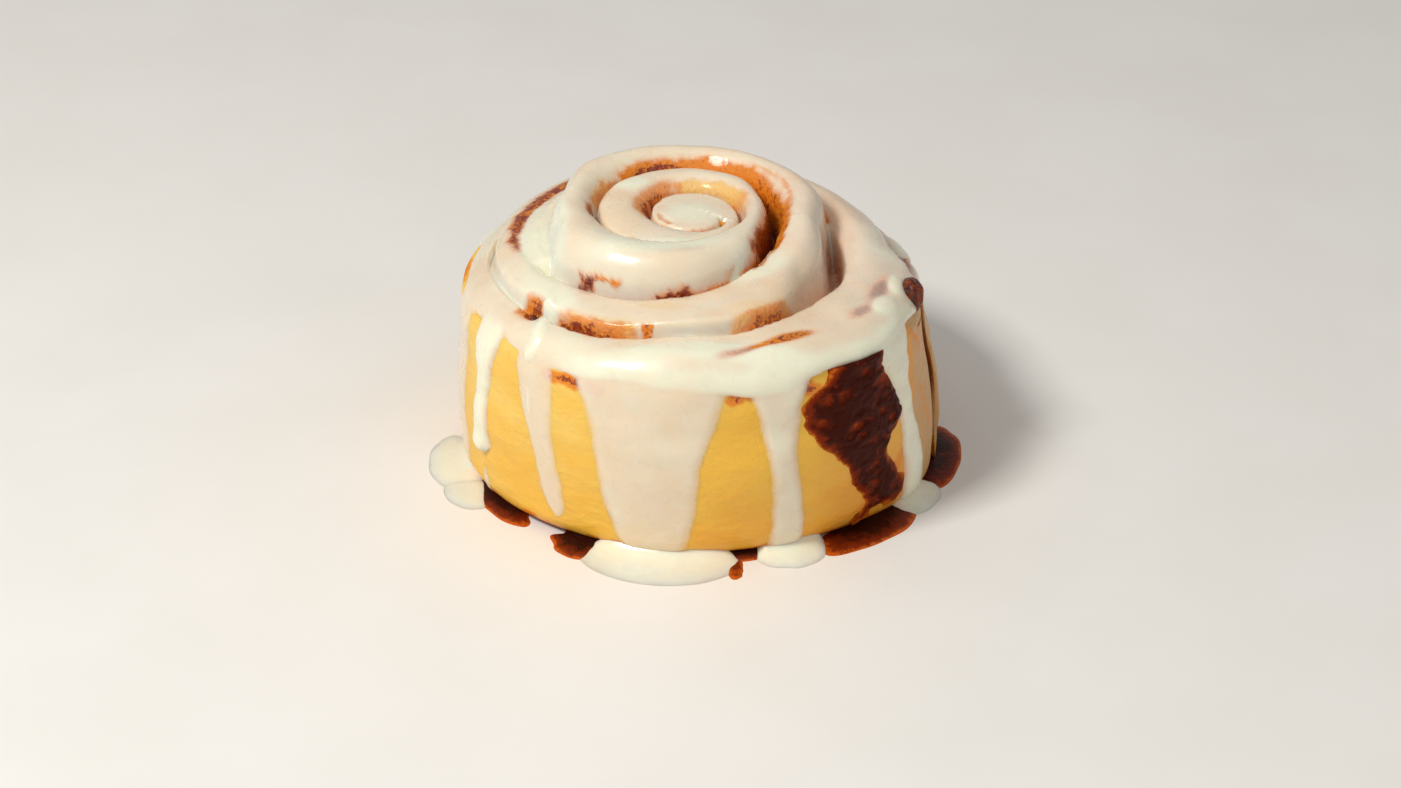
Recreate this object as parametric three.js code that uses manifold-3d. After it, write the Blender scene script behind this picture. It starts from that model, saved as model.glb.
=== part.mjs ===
// A large iced cinnamon roll, in millimetres, +Z up. The origin is the middle of its flat underside.
//
// One strip of dough is coiled outward, clockwise seen from above, for five turns. A ribbon of cinnamon
// filling lies in the spiral slot between the turns. Icing covers the top and runs down the wall into
// pools, baked-out filling sticks to the wall, and syrup lies in puddles round the base.
import * as THREE from "three";
import { mergeVertices } from "three/addons/utils/BufferGeometryUtils.js";
import Module from "manifold-3d";

const wasm = await Module();
wasm.setup();

// ---- Driving dimensions ----

const WALL_RADIUS = 49.7; // mean radius of the upright outer wall
const WALL_OVAL = 0.5; // how much wider the roll is from left to right than from front to back
const WALL_FOOT = 6; // rounding where the wall turns under
const SHOULDER_RUN = 5.5; // how far in from the wall the outer turn's crest lies
const SHOULDER_Z = 40; // height where the wall starts to turn over
const COIL_CENTRE = new THREE.Vector2(-1.6, 1.6); // the coil is a little off the roll's middle
const COIL_START = -19; // azimuth, in degrees, where the spiral slot begins
const TURN = 360;

// The slot's middle line: degrees turned clockwise from COIL_START, and radius from COIL_CENTRE.
const SLOT_LINE = [
  [0, 6.5], [63, 8.5], [155, 9], [236, 10], [300, 9.5], [360, 10.5], [407, 13.2], [430, 16],
  [460, 18.4], [510, 19.6], [545, 20.5], [580, 20.3], [611, 19.4], [645, 18.4], [687, 17.6], [735, 18.5],
  [762, 21.8], [791, 27], [831, 31], [869, 33.6], [905, 33.2], [940, 31], [971, 29], [1010, 28],
  [1045, 29], [1068, 31.2], [1088, 33.6], [1108, 34.6], [1136, 38.3], [1162, 40], [1200, 41.5],
  [1260, 41.5], [1331, 40], [1380, 41.5], [1412, 45],
];
const SLOT_END = 1440; // turned angle where the slot breaks out through the wall
const STRIP_END = 1786; // turned angle of the strip's thin outer end
const SLOT_HALF = 0.9; // half the width of the slot
const BENDS = [9, 18, 27]; // heights where the faces of the slot may bend as the roll settles
const FILLING_HALF = 0.5; // half the thickness of the filling ribbon
const CORE_LAP = 8; // degrees that the core runs on past its first turn

// Two places where the turns have parted: turned angle of the middle, its reach each way, extra gap.
const POCKETS = [
  { middle: 884, reach: 38, gap: 3.8 },
  { middle: 1084, reach: 42, gap: 4.2 },
];

// Crest height of the strip: turned angle and height. The middle turns rise out of the coil as a bud.
const CREST = [
  [0, 54], [330, 54.2], [431, 54.5], [540, 55.6], [720, 56.3], [791, 56.5], [860, 56.8], [971, 57],
  [1060, 56], [1110, 52], [1151, 50], [1250, 50], [1331, 49.5], [1420, 48.5], [1500, 47.8],
  [1620, 46.4], [1700, 45.6], [1750, 44.5], [1800, 42],
];
const CREASE_DEPTH = 4.2; // drop from a crest to the edge of the slot
const CREASE_POWER = 2.6; // how square the crests are

// How the baked roll departs from an upright drum, as curves of azimuth from -180 to 180 degrees: how far
// its shoulders sag, how far its top leans in, and how far its foot draws in.
const SAG = [
  [-180, 4], [-135, 2], [-90, 1], [-45, 2], [0, 4.6], [45, 4], [90, 3], [135, 4], [180, 4],
];
const LEAN = [
  [-180, 0.8], [-135, 0.3], [-90, 0], [-45, 0.8], [0, 4.8], [45, 3.6], [90, 1], [135, 0.8], [180, 0.8],
];
const TUCK = [
  [-180, 0], [-160, 0.6], [-125, 3.2], [-90, 3.8], [-50, 3.2], [-25, 0.8], [0, 0.2], [90, 1.5], [140, 1],
  [180, 0],
];

const ICING_GAP = 0.45; // clearance between the icing and the dough
const ICING_TOP = 1.1; // thickness over the coil
const ICING_BAND = 1.7; // thickness of the band round the shoulder
const LIP_Z = 39.4; // mean height of the band's lower edge
const LIP_SWING = 0.9; // how far that edge wanders up and down

const RUN_BACK = 0.15; // how much further out than the band's back a run's back stands
const RUN_EDGE = 0.3; // thickness of a run along its edges

// Runs of icing down the wall: azimuth and height at both ends, width at both ends, thickness.
const RUNS = [
  { name: "far left", from: [-168, 41.3], to: [-169, 0.4], width: [11, 9], thick: 1 },
  { name: "left blob", from: [-150, 41.3], to: [-153, 12], width: [6.5, 8], thick: 2.2 },
  { name: "left", from: [-130.5, 41.3], to: [-128.5, 8.5], width: [9.5, 5.5], thick: 1 },
  { name: "front sheet", from: [-102.4, 41.6], to: [-101, 0.4], width: [28, 17], thick: 1 },
  { name: "front", from: [-72.5, 41.3], to: [-68.5, 0.4], width: [9.5, 6], thick: 1.9 },
  { name: "front right", from: [-36.5, 41.3], to: [-27, 0.4], width: [10.5, 8], thick: 1.9 },
  { name: "right", from: [22, 41.3], to: [20, 17], width: [9, 6], thick: 1.9 },
  { name: "back right", from: [44, 41.3], to: [47, 0.4], width: [15, 10], thick: 1 },
  { name: "back", from: [83, 41.3], to: [82, 13], width: [8, 6.5], thick: 1.9 },
  { name: "back left", from: [118, 41.3], to: [121, 0.4], width: [17, 11], thick: 1 },
  { name: "left back", from: [156, 41.3], to: [157, 21], width: [9, 6], thick: 1.9 },
];

// Pools of icing on the flat under the runs: azimuth range and radius range, with the height.
const ICING_POOLS = [
  { name: "far left", azimuth: [-181, -160], radius: [49, 57.5], high: 1.7 },
  { name: "left", azimuth: [-167, -150], radius: [49.6, 56.5], high: 1.2 },
  { name: "front", azimuth: [-117, -84], radius: [45.6, 56], high: 1.9 },
  { name: "front small", azimuth: [-75.5, -58], radius: [45.6, 51.8], high: 1.5 },
  { name: "front right", azimuth: [-33, -18], radius: [48.6, 54.5], high: 1.3 },
  { name: "back right", azimuth: [37, 58], radius: [49.4, 55.5], high: 1.5 },
  { name: "back left", azimuth: [110, 132], radius: [49.4, 56], high: 1.5 },
];

const SYRUP_HIGH = 0.8; // depth of the syrup puddles
const SYRUP_PUDDLES = {
  syrup_puddle_left: { azimuth: [-156, -140], radius: [46.2, 49] },
  syrup_puddle_front_left: { azimuth: [-130.5, -118], radius: [43.8, 49.6] },
  syrup_puddle_front: { azimuth: [-83.2, -76.2], radius: [43.2, 50] },
  syrup_puddle_front_right: { azimuth: [-57, -34], radius: [44.4, 52] },
  syrup_puddle_right: { azimuth: [-17, 8], radius: [48.6, 55.6] },
};

// The smear of baked-out filling on the wall: heights from top to bottom, each with its azimuth range.
const SMEAR_ROWS = [
  { z: 37.6, azimuth: [-63.5, -45.5] },
  { z: 32, azimuth: [-63.8, -43.5] },
  { z: 25, azimuth: [-63.5, -41] },
  { z: 19, azimuth: [-61.5, -38.5] },
  { z: 13.5, azimuth: [-53, -38.5] },
  { z: 8.5, azimuth: [-50, -39.5] },
];
const SMEAR_THICK = 0.9;

// ---- Shape functions ----

const rad = THREE.MathUtils.degToRad;

/** Smooth curve through a table of [position, value] pairs. */
function through(table) {
  const curve = new THREE.CubicInterpolant(
    Float64Array.from(table, (row) => row[0]),
    Float64Array.from(table, (row) => row[1]),
    1,
  );
  return (at) => curve.evaluate(at)[0];
}

const slotLine = through(SLOT_LINE);
const crest = through(CREST);
const sag = through(SAG);
const lean = through(LEAN);
const tuck = through(TUCK);

/** Radius of the wall about the origin at an azimuth in degrees. */
function wallRadius(azimuth) {
  return WALL_RADIUS + WALL_OVAL * Math.cos(rad(2 * azimuth));
}

/** Azimuth in degrees of a turned angle. */
function azimuthOf(turned) {
  return COIL_START - turned;
}

/** Distance from the coil's centre to the wall along an azimuth. */
function wallFromCoil(azimuth) {
  const along = new THREE.Vector2(Math.cos(rad(azimuth)), Math.sin(rad(azimuth)));
  let reach = WALL_RADIUS;
  for (let pass = 0; pass < 6; pass++) {
    const point = along.clone().multiplyScalar(reach).add(COIL_CENTRE);
    const here = THREE.MathUtils.radToDeg(point.angle());
    reach += wallRadius(here) - point.length();
  }
  return reach;
}

/** Radius of the slot's middle line from the coil's centre, easing out to the wall at its end. */
function slotRadius(turned) {
  const lastRow = SLOT_LINE.at(-1)[0];
  if (turned <= lastRow) {
    return slotLine(turned);
  }
  const wall = wallFromCoil(azimuthOf(turned)) + SLOT_HALF;
  const ease = THREE.MathUtils.smoothstep(turned, lastRow, SLOT_END);
  return THREE.MathUtils.lerp(slotLine(lastRow), wall, ease);
}

/** Extra gap that the parted turns leave inside the slot's middle line. */
function pocketGap(turned) {
  return POCKETS.reduce((gap, pocket) => {
    const off = Math.abs(turned - pocket.middle) / pocket.reach;
    return gap + pocket.gap * (1 - THREE.MathUtils.smoothstep(off, 0.35, 1));
  }, 0);
}

/** Point in space from polar coordinates about the coil's centre. */
function coilPoint(azimuth, radius, z) {
  const a = rad(azimuth);
  return new THREE.Vector3(
    COIL_CENTRE.x + radius * Math.cos(a),
    COIL_CENTRE.y + radius * Math.sin(a),
    z,
  );
}

/** Point in space from polar coordinates about the origin. */
function wallPoint(azimuth, radius, z) {
  const a = rad(azimuth);
  return new THREE.Vector3(radius * Math.cos(a), radius * Math.sin(a), z);
}

/** Closed geometry from points and triangles, turned so that its faces point outward. */
function closedGeometry(points, faces) {
  let volume = 0;
  const normal = new THREE.Vector3();
  for (const [a, b, c] of faces) {
    volume += points[a].dot(normal.crossVectors(points[b], points[c]));
  }
  const outward = volume > 0 ? faces : faces.map(([a, b, c]) => [a, c, b]);
  const geometry = new THREE.BufferGeometry().setFromPoints(points);
  geometry.setIndex(outward.flat());
  return geometry;
}

/** Skin of loops of points carried along a path; each end is closed by a zigzag across its loop. */
function loft(sections) {
  const count = sections[0].length;
  const faces = [];
  for (let row = 0; row + 1 < sections.length; row++) {
    for (let i = 0; i < count; i++) {
      const a = row * count + i;
      const b = row * count + ((i + 1) % count);
      faces.push([a, b, b + count], [a, b + count, a + count]);
    }
  }
  const last = (sections.length - 1) * count;
  for (let i = 0, j = count - 1; i < j; i++, j--) {
    if (i + 1 < j) {
      faces.push([j, i + 1, i], [last + i, last + i + 1, last + j]);
    }
    if (i + 1 < j - 1) {
      faces.push([j, j - 1, i + 1], [last + i + 1, last + j - 1, last + j]);
    }
  }
  return closedGeometry(sections.flat(), faces);
}

/** A geometry as a solid for joining and cutting. */
function solid(geometry) {
  const bare = new THREE.BufferGeometry();
  bare.setAttribute("position", geometry.getAttribute("position"));
  bare.setIndex(geometry.getIndex());
  const merged = mergeVertices(bare, 1e-4);
  return new wasm.Manifold(
    new wasm.Mesh({
      numProp: 3,
      vertProperties: Float32Array.from(merged.getAttribute("position").array),
      triVerts: Uint32Array.from(merged.getIndex().array),
    }),
  );
}

/** A solid back as a geometry. */
function geometryOf(body) {
  const mesh = body.getMesh();
  const geometry = new THREE.BufferGeometry();
  geometry.setAttribute("position", new THREE.BufferAttribute(mesh.vertProperties, 3));
  geometry.setIndex(new THREE.BufferAttribute(mesh.triVerts, 1));
  return geometry;
}

/** Lets a geometry's shoulders sag and draws in its top and its foot. */
function settle(geometry) {
  const position = geometry.getAttribute("position");
  const point = new THREE.Vector3();
  for (let i = 0; i < position.count; i++) {
    point.fromBufferAttribute(position, i);
    const azimuth = THREE.MathUtils.radToDeg(Math.atan2(point.y, point.x));
    const radius = Math.hypot(point.x, point.y);
    const high = THREE.MathUtils.smoothstep(point.z, 22, 48);
    const sunk = sag(azimuth) * high * THREE.MathUtils.smoothstep(radius, 33, 50);
    const leant = lean(azimuth) * THREE.MathUtils.smoothstep(point.z, 8, 46);
    const tucked = tuck(azimuth) * (1 - THREE.MathUtils.smoothstep(point.z, 0, 26));
    const keep = 1 - ((leant + tucked) / WALL_RADIUS) * THREE.MathUtils.smoothstep(radius, 20, 48);
    position.setXYZ(i, point.x * keep, point.y * keep, point.z - sunk);
  }
  return geometry;
}

// ---- Dough ----

const TURN_STEP = 12; // degrees between the strip's sections
const OUTER_TURN_AT = 1500; // by this turned angle the outer face is fully the roll's wall

/** Inner and outer radius of the strip at a turned angle; the core reaches in to the coil's axis. */
function stripEdges(turned, isCore = turned < TURN) {
  const azimuth = azimuthOf(turned);
  const inner = isCore ? 0 : slotRadius(turned - TURN) + SLOT_HALF;
  const wall = wallFromCoil(azimuth);
  const outer = turned < SLOT_END ? slotRadius(turned) - SLOT_HALF - pocketGap(turned) : wall;
  return { inner, outer: Math.min(outer, wall), azimuth, wall };
}

/** Height of the crest's rounding across the strip, from 0 at the inner edge to 1 at the outer edge. */
function crestDrop(across, innerDrop, outerDrop) {
  const off = 2 * across - 1;
  const drop = off < 0 ? innerDrop : outerDrop;
  return drop * Math.abs(off) ** CREASE_POWER;
}

/** One loop round the strip's cross-section. */
function stripSection(turned, isCore) {
  const { inner, outer, azimuth } = stripEdges(turned, isCore);
  const top = crest(turned);
  const asWall = THREE.MathUtils.smoothstep(turned, SLOT_END - 40, OUTER_TURN_AT);
  const outerDrop = THREE.MathUtils.lerp(CREASE_DEPTH, top - SHOULDER_Z, asWall);
  const foot = asWall * Math.min(WALL_FOOT, 0.7 * (outer - inner));
  const innerDrop = isCore ? 0 : CREASE_DEPTH;
  const across = [0, 0.12, 0.3, 0.5, 0.7, 0.85, 0.95, 1];
  const loop = across.map((u) =>
    coilPoint(azimuth, inner + u * (outer - inner), top - crestDrop(u, innerDrop, outerDrop)),
  );
  loop.push(...BENDS.toReversed().map((z) => coilPoint(azimuth, outer, z)));
  loop.push(coilPoint(azimuth, outer - 0.08 * foot, 0.65 * WALL_FOOT));
  loop.push(coilPoint(azimuth, outer - 0.4 * foot, 0.2 * WALL_FOOT));
  loop.push(coilPoint(azimuth, outer - foot, 0));
  loop.push(coilPoint(azimuth, inner, 0));
  loop.push(...BENDS.map((z) => coilPoint(azimuth, inner, z)));
  return loop;
}

/** Sections of the strip between two turned angles. */
function stripSections(from, to, isCore) {
  const count = Math.ceil((to - from) / TURN_STEP);
  return Array.from({ length: count + 1 }, (_, i) =>
    stripSection(THREE.MathUtils.lerp(from, to, i / count), isCore),
  );
}

/** The core is a fan of sections that start on the coil's axis, so that it has no hole in it. */
function doughGeometry() {
  const core = solid(loft(stripSections(0, TURN - CORE_LAP / 2, true)));
  const lap = solid(loft(stripSections(TURN - CORE_LAP, TURN + CORE_LAP, true)));
  const coil = solid(loft(stripSections(TURN, STRIP_END, false)));
  return geometryOf(core.add(lap).add(coil));
}

// ---- Cinnamon filling ----

const FILLING_FROM = 22; // turned angles where the ribbon starts and ends
const FILLING_TO = 1414;
const FILLING_FLOOR = 1; // height of its lower edge
const FILLING_RISE = 0.6; // how far it stands above the crease

function fillingGeometry() {
  const count = Math.ceil((FILLING_TO - FILLING_FROM) / TURN_STEP);
  const sections = [];
  for (let i = 0; i <= count; i++) {
    const turned = THREE.MathUtils.lerp(FILLING_FROM, FILLING_TO, i / count);
    const azimuth = azimuthOf(turned);
    const middle = slotRadius(turned);
    const lower = Math.min(crest(turned), crest(turned + TURN));
    const top = lower - CREASE_DEPTH + FILLING_RISE;
    const levels = [FILLING_FLOOR, ...BENDS, top - FILLING_HALF];
    sections.push([
      ...levels.map((z) => coilPoint(azimuth, middle - FILLING_HALF, z)),
      coilPoint(azimuth, middle, top),
      ...levels.toReversed().map((z) => coilPoint(azimuth, middle + FILLING_HALF, z)),
    ]);
  }
  return loft(sections);
}

// ---- Icing ----

const CAP_SIDES = 45; // facets round the cap
const CAP_RADII = [3, 7, 11, 15, 19, 23, 26.5, 30, 34, 37.5, 41]; // rings over the coil
const SHOULDER_ANGLES = [90, 66, 46, 28, 10]; // degrees up the shoulder's quarter oval
const SHOULDER_POWER = 0.72; // below 1 the oval is squarer than an ellipse
const COVER_MARGIN = 0.5; // extra lift over the coil, for the crests between two rings

/** Height of the smooth surface that rests on the crests, at polar coordinates about the coil. */
function coverHeight(azimuth, radius) {
  const wrapped = ((((COIL_START - azimuth) % TURN) + TURN) % TURN);
  const strips = [];
  for (let turned = wrapped; turned < STRIP_END; turned += TURN) {
    const { inner, outer } = stripEdges(turned);
    strips.push({ inner, outer, middle: turned < TURN ? 0 : (inner + outer) / 2, top: crest(turned) });
  }
  let height = strips.at(-1).top;
  for (let i = 0; i + 1 < strips.length; i++) {
    const near = strips[i];
    const far = strips[i + 1];
    if (radius >= near.middle && radius <= far.middle) {
      const part = (radius - near.middle) / (far.middle - near.middle);
      height = THREE.MathUtils.lerp(near.top, far.top, part);
    }
  }
  for (const strip of strips) {
    if (radius >= strip.inner && radius <= strip.outer) {
      const u = (radius - strip.inner) / (strip.outer - strip.inner);
      height = Math.max(height, strip.top - crestDrop(u, CREASE_DEPTH, CREASE_DEPTH));
    }
  }
  return height;
}

/** Height of the band's lower edge at an azimuth about the origin. */
function lipHeight(azimuth) {
  return LIP_Z + LIP_SWING * Math.sin(rad(3 * azimuth + 40));
}

/** Rings of the cap, offset outward from the dough by the clearance and a share of the thickness. */
function capRings(share) {
  const lift = ICING_GAP + share * ICING_TOP;
  const push = ICING_GAP + share * ICING_BAND;
  const azimuths = Array.from({ length: CAP_SIDES }, (_, i) => (i * TURN) / CAP_SIDES);
  const rings = CAP_RADII.map((radius) =>
    azimuths.map((a) => coilPoint(a, radius, coverHeight(a, radius) + COVER_MARGIN + lift)),
  );
  for (const angle of SHOULDER_ANGLES) {
    rings.push(
      azimuths.map((a) => {
        const far = wallRadius(a) - SHOULDER_RUN;
        const onCrest = wallPoint(a, far, 0).sub(new THREE.Vector3(COIL_CENTRE.x, COIL_CENTRE.y, 0));
        const crestAzimuth = THREE.MathUtils.radToDeg(Math.atan2(onCrest.y, onCrest.x));
        const up = coverHeight(crestAzimuth, onCrest.length()) + COVER_MARGIN - SHOULDER_Z + lift;
        return wallPoint(
          a,
          far + (SHOULDER_RUN + push) * Math.cos(rad(angle)) ** SHOULDER_POWER,
          SHOULDER_Z + up * Math.sin(rad(angle)) ** SHOULDER_POWER,
        );
      }),
    );
  }
  rings.push(azimuths.map((a) => wallPoint(a, wallRadius(a) + push, lipHeight(a))));
  return rings;
}

/** One run of icing down the wall, round-faced, with its ends drawn in. */
function runGeometry({ from, to, width, thick }) {
  const rows = 6;
  const columns = 5;
  const sections = [];
  for (let row = 0; row <= rows; row++) {
    const down = row / rows;
    const azimuth = THREE.MathUtils.lerp(from[0], to[0], down);
    const z = THREE.MathUtils.lerp(from[1], to[1], down);
    const ending = to[1] > 2 ? Math.sqrt(Math.max(0.06, 1 - down ** 6)) : 1;
    const half = 0.5 * THREE.MathUtils.lerp(width[0], width[1], Math.sqrt(down)) * ending;
    const outer = [];
    const inner = [];
    for (let column = 0; column <= columns; column++) {
      const off = (2 * column) / columns - 1;
      const a = azimuth + THREE.MathUtils.radToDeg((off * half) / WALL_RADIUS);
      const wall = wallRadius(a) + ICING_GAP + RUN_BACK;
      outer.push(wallPoint(a, wall + RUN_EDGE + thick * Math.sqrt(1 - off * off), z));
      inner.unshift(wallPoint(a, wall, z));
    }
    sections.push([...outer, ...inner]);
  }
  return loft(sections);
}

/** A flat drop with a rounded rim, its outline an oval bent round the base. */
function puddleGeometry({ azimuth, radius }, high) {
  const sides = 18;
  const middleAzimuth = (azimuth[0] + azimuth[1]) / 2;
  const middleRadius = (radius[0] + radius[1]) / 2;
  const rings = [[1, 0], [0.99, 0.35], [0.9, 0.8], [0.72, 1]].map(([spread, lift]) =>
    Array.from({ length: sides }, (_, i) => {
      const t = (2 * Math.PI * i) / sides;
      const a = middleAzimuth + (spread * Math.cos(t) * (azimuth[1] - azimuth[0])) / 2;
      return wallPoint(a, middleRadius + (spread * Math.sin(t) * (radius[1] - radius[0])) / 2, lift * high);
    }),
  );
  return loft(rings);
}

/** The hole that a parted pair of turns leaves in the icing, as an upright bent prism. */
function pocketHole({ middle, reach, gap }) {
  const sections = [];
  for (let turned = middle - 0.8 * reach; turned <= middle + 0.8 * reach; turned += 0.1 * reach) {
    const azimuth = azimuthOf(turned);
    const line = slotRadius(turned);
    const open = Math.max(0.4, pocketGap(turned) - 0.25 * gap);
    sections.push([
      coilPoint(azimuth, line + SLOT_HALF, SHOULDER_Z),
      coilPoint(azimuth, line + SLOT_HALF, 2 * SHOULDER_Z),
      coilPoint(azimuth, line - open, 2 * SHOULDER_Z),
      coilPoint(azimuth, line - open, SHOULDER_Z),
    ]);
  }
  return loft(sections);
}

function icingGeometry() {
  let icing = solid(settle(loft([...capRings(1), ...capRings(0).reverse()])));
  for (const run of RUNS) {
    icing = icing.add(solid(settle(runGeometry(run))));
  }
  icing = icing.subtract(solid(settle(pocketHole(POCKETS[1]))));
  for (const pool of ICING_POOLS) {
    icing = icing.add(solid(puddleGeometry(pool, pool.high)));
  }
  return geometryOf(icing);
}

// ---- Smear of filling on the wall ----

function smearGeometry() {
  const columns = 6;
  const sections = SMEAR_ROWS.map(({ z, azimuth }) => {
    const outer = [];
    const inner = [];
    for (let column = 0; column <= columns; column++) {
      const off = (2 * column) / columns - 1;
      const a = THREE.MathUtils.lerp(azimuth[0], azimuth[1], column / columns);
      const wall = wallRadius(a) + ICING_GAP;
      outer.push(wallPoint(a, wall + 0.3 + SMEAR_THICK * (1 - off * off), z));
      inner.unshift(wallPoint(a, wall, z));
    }
    return [...outer, ...inner];
  });
  return loft(sections);
}

// ---- Assembly ----

const doughMaterial = new THREE.MeshStandardMaterial({ color: 0xe0a850, roughness: 0.62, metalness: 0 });
const fillingMaterial = new THREE.MeshStandardMaterial({ color: 0x6a3010, roughness: 0.45, metalness: 0 });
const icingMaterial = new THREE.MeshStandardMaterial({ color: 0xf2e9d2, roughness: 0.3, metalness: 0 });
const smearMaterial = new THREE.MeshStandardMaterial({ color: 0x7a3312, roughness: 0.35, metalness: 0 });
const syrupMaterial = new THREE.MeshStandardMaterial({ color: 0x9a4a14, roughness: 0.15, metalness: 0 });

const group = new THREE.Group();
group.name = "cinnamon_roll";

/** Adds one named piece to the roll. */
function addPiece(name, geometry, material) {
  geometry.computeVertexNormals();
  const mesh = new THREE.Mesh(geometry, material);
  mesh.name = name;
  group.add(mesh);
}

addPiece("dough", settle(doughGeometry()), doughMaterial);
addPiece("cinnamon_filling", settle(fillingGeometry()), fillingMaterial);
addPiece("icing", icingGeometry(), icingMaterial);
addPiece("cinnamon_smear", settle(smearGeometry()), smearMaterial);
for (const [name, puddle] of Object.entries(SYRUP_PUDDLES)) {
  addPiece(name, puddleGeometry(puddle, SYRUP_HIGH), syrupMaterial);
}

export default group;
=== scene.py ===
"""Looks of a large iced cinnamon roll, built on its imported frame.

Sizes inside the classes are in millimetres and degrees. Azimuths are measured anticlockwise from +X
about the origin, unless they are said to be about the coil's middle. A mesh is written in metres.
"""

import logging
import math
from dataclasses import dataclass, field
from enum import Enum

import bpy
import numpy as np
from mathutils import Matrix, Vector
from numpy.typing import NDArray

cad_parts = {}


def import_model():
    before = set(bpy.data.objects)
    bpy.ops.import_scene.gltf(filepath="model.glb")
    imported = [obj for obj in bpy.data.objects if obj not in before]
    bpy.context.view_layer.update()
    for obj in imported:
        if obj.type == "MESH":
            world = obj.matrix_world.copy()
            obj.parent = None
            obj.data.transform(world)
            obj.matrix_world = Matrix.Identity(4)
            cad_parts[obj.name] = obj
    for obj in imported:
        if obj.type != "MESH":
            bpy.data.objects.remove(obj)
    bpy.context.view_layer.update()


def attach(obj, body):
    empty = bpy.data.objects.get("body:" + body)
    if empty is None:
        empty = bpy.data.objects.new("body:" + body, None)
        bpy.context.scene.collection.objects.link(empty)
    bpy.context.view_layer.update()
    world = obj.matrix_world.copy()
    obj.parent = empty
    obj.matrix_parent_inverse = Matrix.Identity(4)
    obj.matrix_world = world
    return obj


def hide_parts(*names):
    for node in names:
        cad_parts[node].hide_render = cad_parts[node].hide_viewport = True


Array = NDArray[np.float64]
Rows = tuple[tuple[float, float], ...]

LOG = logging.getLogger("cinnamon_roll")
MM = 0.001
TURN = 360.0
WALL = 49.7  # mean radius of the roll's wall
HIDDEN = -0.7  # thickness of a coating where it isn't there


# ---- Working with numbers ----


def smooth(low: float | Array, high: float | Array, x: Array) -> Array:
    """Smoothstep: 0 below low, 1 above high, and t*t*(3 - 2t) of the share t between them."""
    t = np.clip((x - low) / (np.asarray(high) - low), 0.0, 1.0)
    return t * t * (3.0 - 2.0 * t)


def blend(a: float | Array, b: float | Array, share: Array) -> Array:
    """Straight mix a + (b - a) * share."""
    return a + (np.asarray(b) - a) * share


def round_edge(depth: Array, run: float | Array) -> Array:
    """Quarter circle: 0 at depth 0, rising as sqrt(e * (2 - e)) of e = depth / run to 1 at the run."""
    e = np.clip(depth / run, 0.0, 1.0)
    return np.sqrt(e * (2.0 - e))


def soft_max(values: Array, softness: float | Array) -> Array:
    """Smooth largest of the first axis: softness * log(sum(exp(value / softness))).

    Args:
        values: stacked fields, with the candidates along the first axis.
        softness: size of the fillet where two candidates are equal, in the fields' unit.

    Returns:
        One field.
    """
    top = values.max(axis=0)
    return top + softness * np.log(np.exp((values - top) / softness).sum(axis=0))


def wrap(angle: Array) -> Array:
    """Angle brought into -180 to 180 degrees."""
    return (angle + 180.0) % TURN - 180.0


@dataclass(frozen=True)
class Track:
    """Smooth curve through a few given values.

    Between two knots it is the cubic Hermite curve h00*y0 + h10*w*m0 + h01*y1 + h11*w*m1, whose slopes m
    are the mean slopes to the neighbouring knots. With a period it closes on itself.
    """

    rows: Rows
    period: float | None = None

    def at(self, x: Array) -> Array:
        """Value at x.

        Args:
            x: positions, of any shape.

        Returns:
            Values of the same shape.
        """
        knots = np.array(self.rows, dtype=float)
        if self.period is not None:
            knots = np.vstack([knots[-2:] - [self.period, 0], knots, knots[:2] + [self.period, 0]])
            x = (np.asarray(x, dtype=float) - self.rows[0][0]) % self.period + self.rows[0][0]
        xs, ys = knots[:, 0], knots[:, 1]
        slopes = np.gradient(ys, xs)
        x = np.clip(x, xs[0], xs[-1])
        i = np.clip(np.searchsorted(xs, x, side="right") - 1, 0, len(xs) - 2)
        width = xs[i + 1] - xs[i]
        t = (x - xs[i]) / width
        rise = t * t * (3 - 2 * t)
        out_going = t * (1 - t) ** 2 * width * slopes[i]
        in_coming = t * t * (t - 1) * width * slopes[i + 1]
        return ys[i] * (1 - rise) + ys[i + 1] * rise + out_going + in_coming


class Noise:
    """Seeded value noise on a repeating lattice of 32 x 32 x 32 random numbers from -1 to 1."""

    SIDE = 32

    def __init__(self, seed: int) -> None:
        """Fills the lattice from the seed."""
        self.lattice = np.random.default_rng(seed).uniform(-1.0, 1.0, (self.SIDE,) * 3)

    def at(self, points: Array, size: float | tuple[float, float, float]) -> Array:
        """Noise at points, smoothly mixed from the eight lattice values round each point.

        Args:
            points: positions with x, y and z along the last axis, in millimetres.
            size: size of one lattice cell along each axis, in millimetres.

        Returns:
            Values from -1 to 1, shaped as the points without their last axis.
        """
        scaled = points / np.asarray(size, dtype=float) + 101.37
        cell = np.floor(scaled).astype(int)
        t = scaled - cell
        t = t * t * (3 - 2 * t)
        total = np.zeros(points.shape[:-1])
        for corner in np.ndindex(2, 2, 2):
            i, j, k = (np.mod(cell + corner, self.SIDE))[..., 0:3].transpose(-1, *range(cell.ndim - 1))
            share = np.prod(np.where(np.array(corner) == 1, t, 1 - t), axis=-1)
            total += share * self.lattice[i, j, k]
        return total

    def layered(self, points: Array, size: float, layers: int = 3) -> Array:
        """Sum of layers of noise, each half the size and half the height of the one before."""
        return sum(self.at(points, size / 2**n) / 2**n for n in range(layers))


def polar(azimuth: Array, radius: Array, z: Array) -> Array:
    """Points from polar coordinates about the origin: (r cos a, r sin a, z)."""
    a = np.radians(azimuth)
    x, y, z = np.broadcast_arrays(radius * np.cos(a), radius * np.sin(a), z)
    return np.stack([x, y, z], axis=-1)


# ---- The coil ----


@dataclass(frozen=True)
class Pocket:
    """Place where two turns have parted: turned angle of its middle, its reach each way and its gap."""

    middle: float
    reach: float
    gap: float


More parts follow.
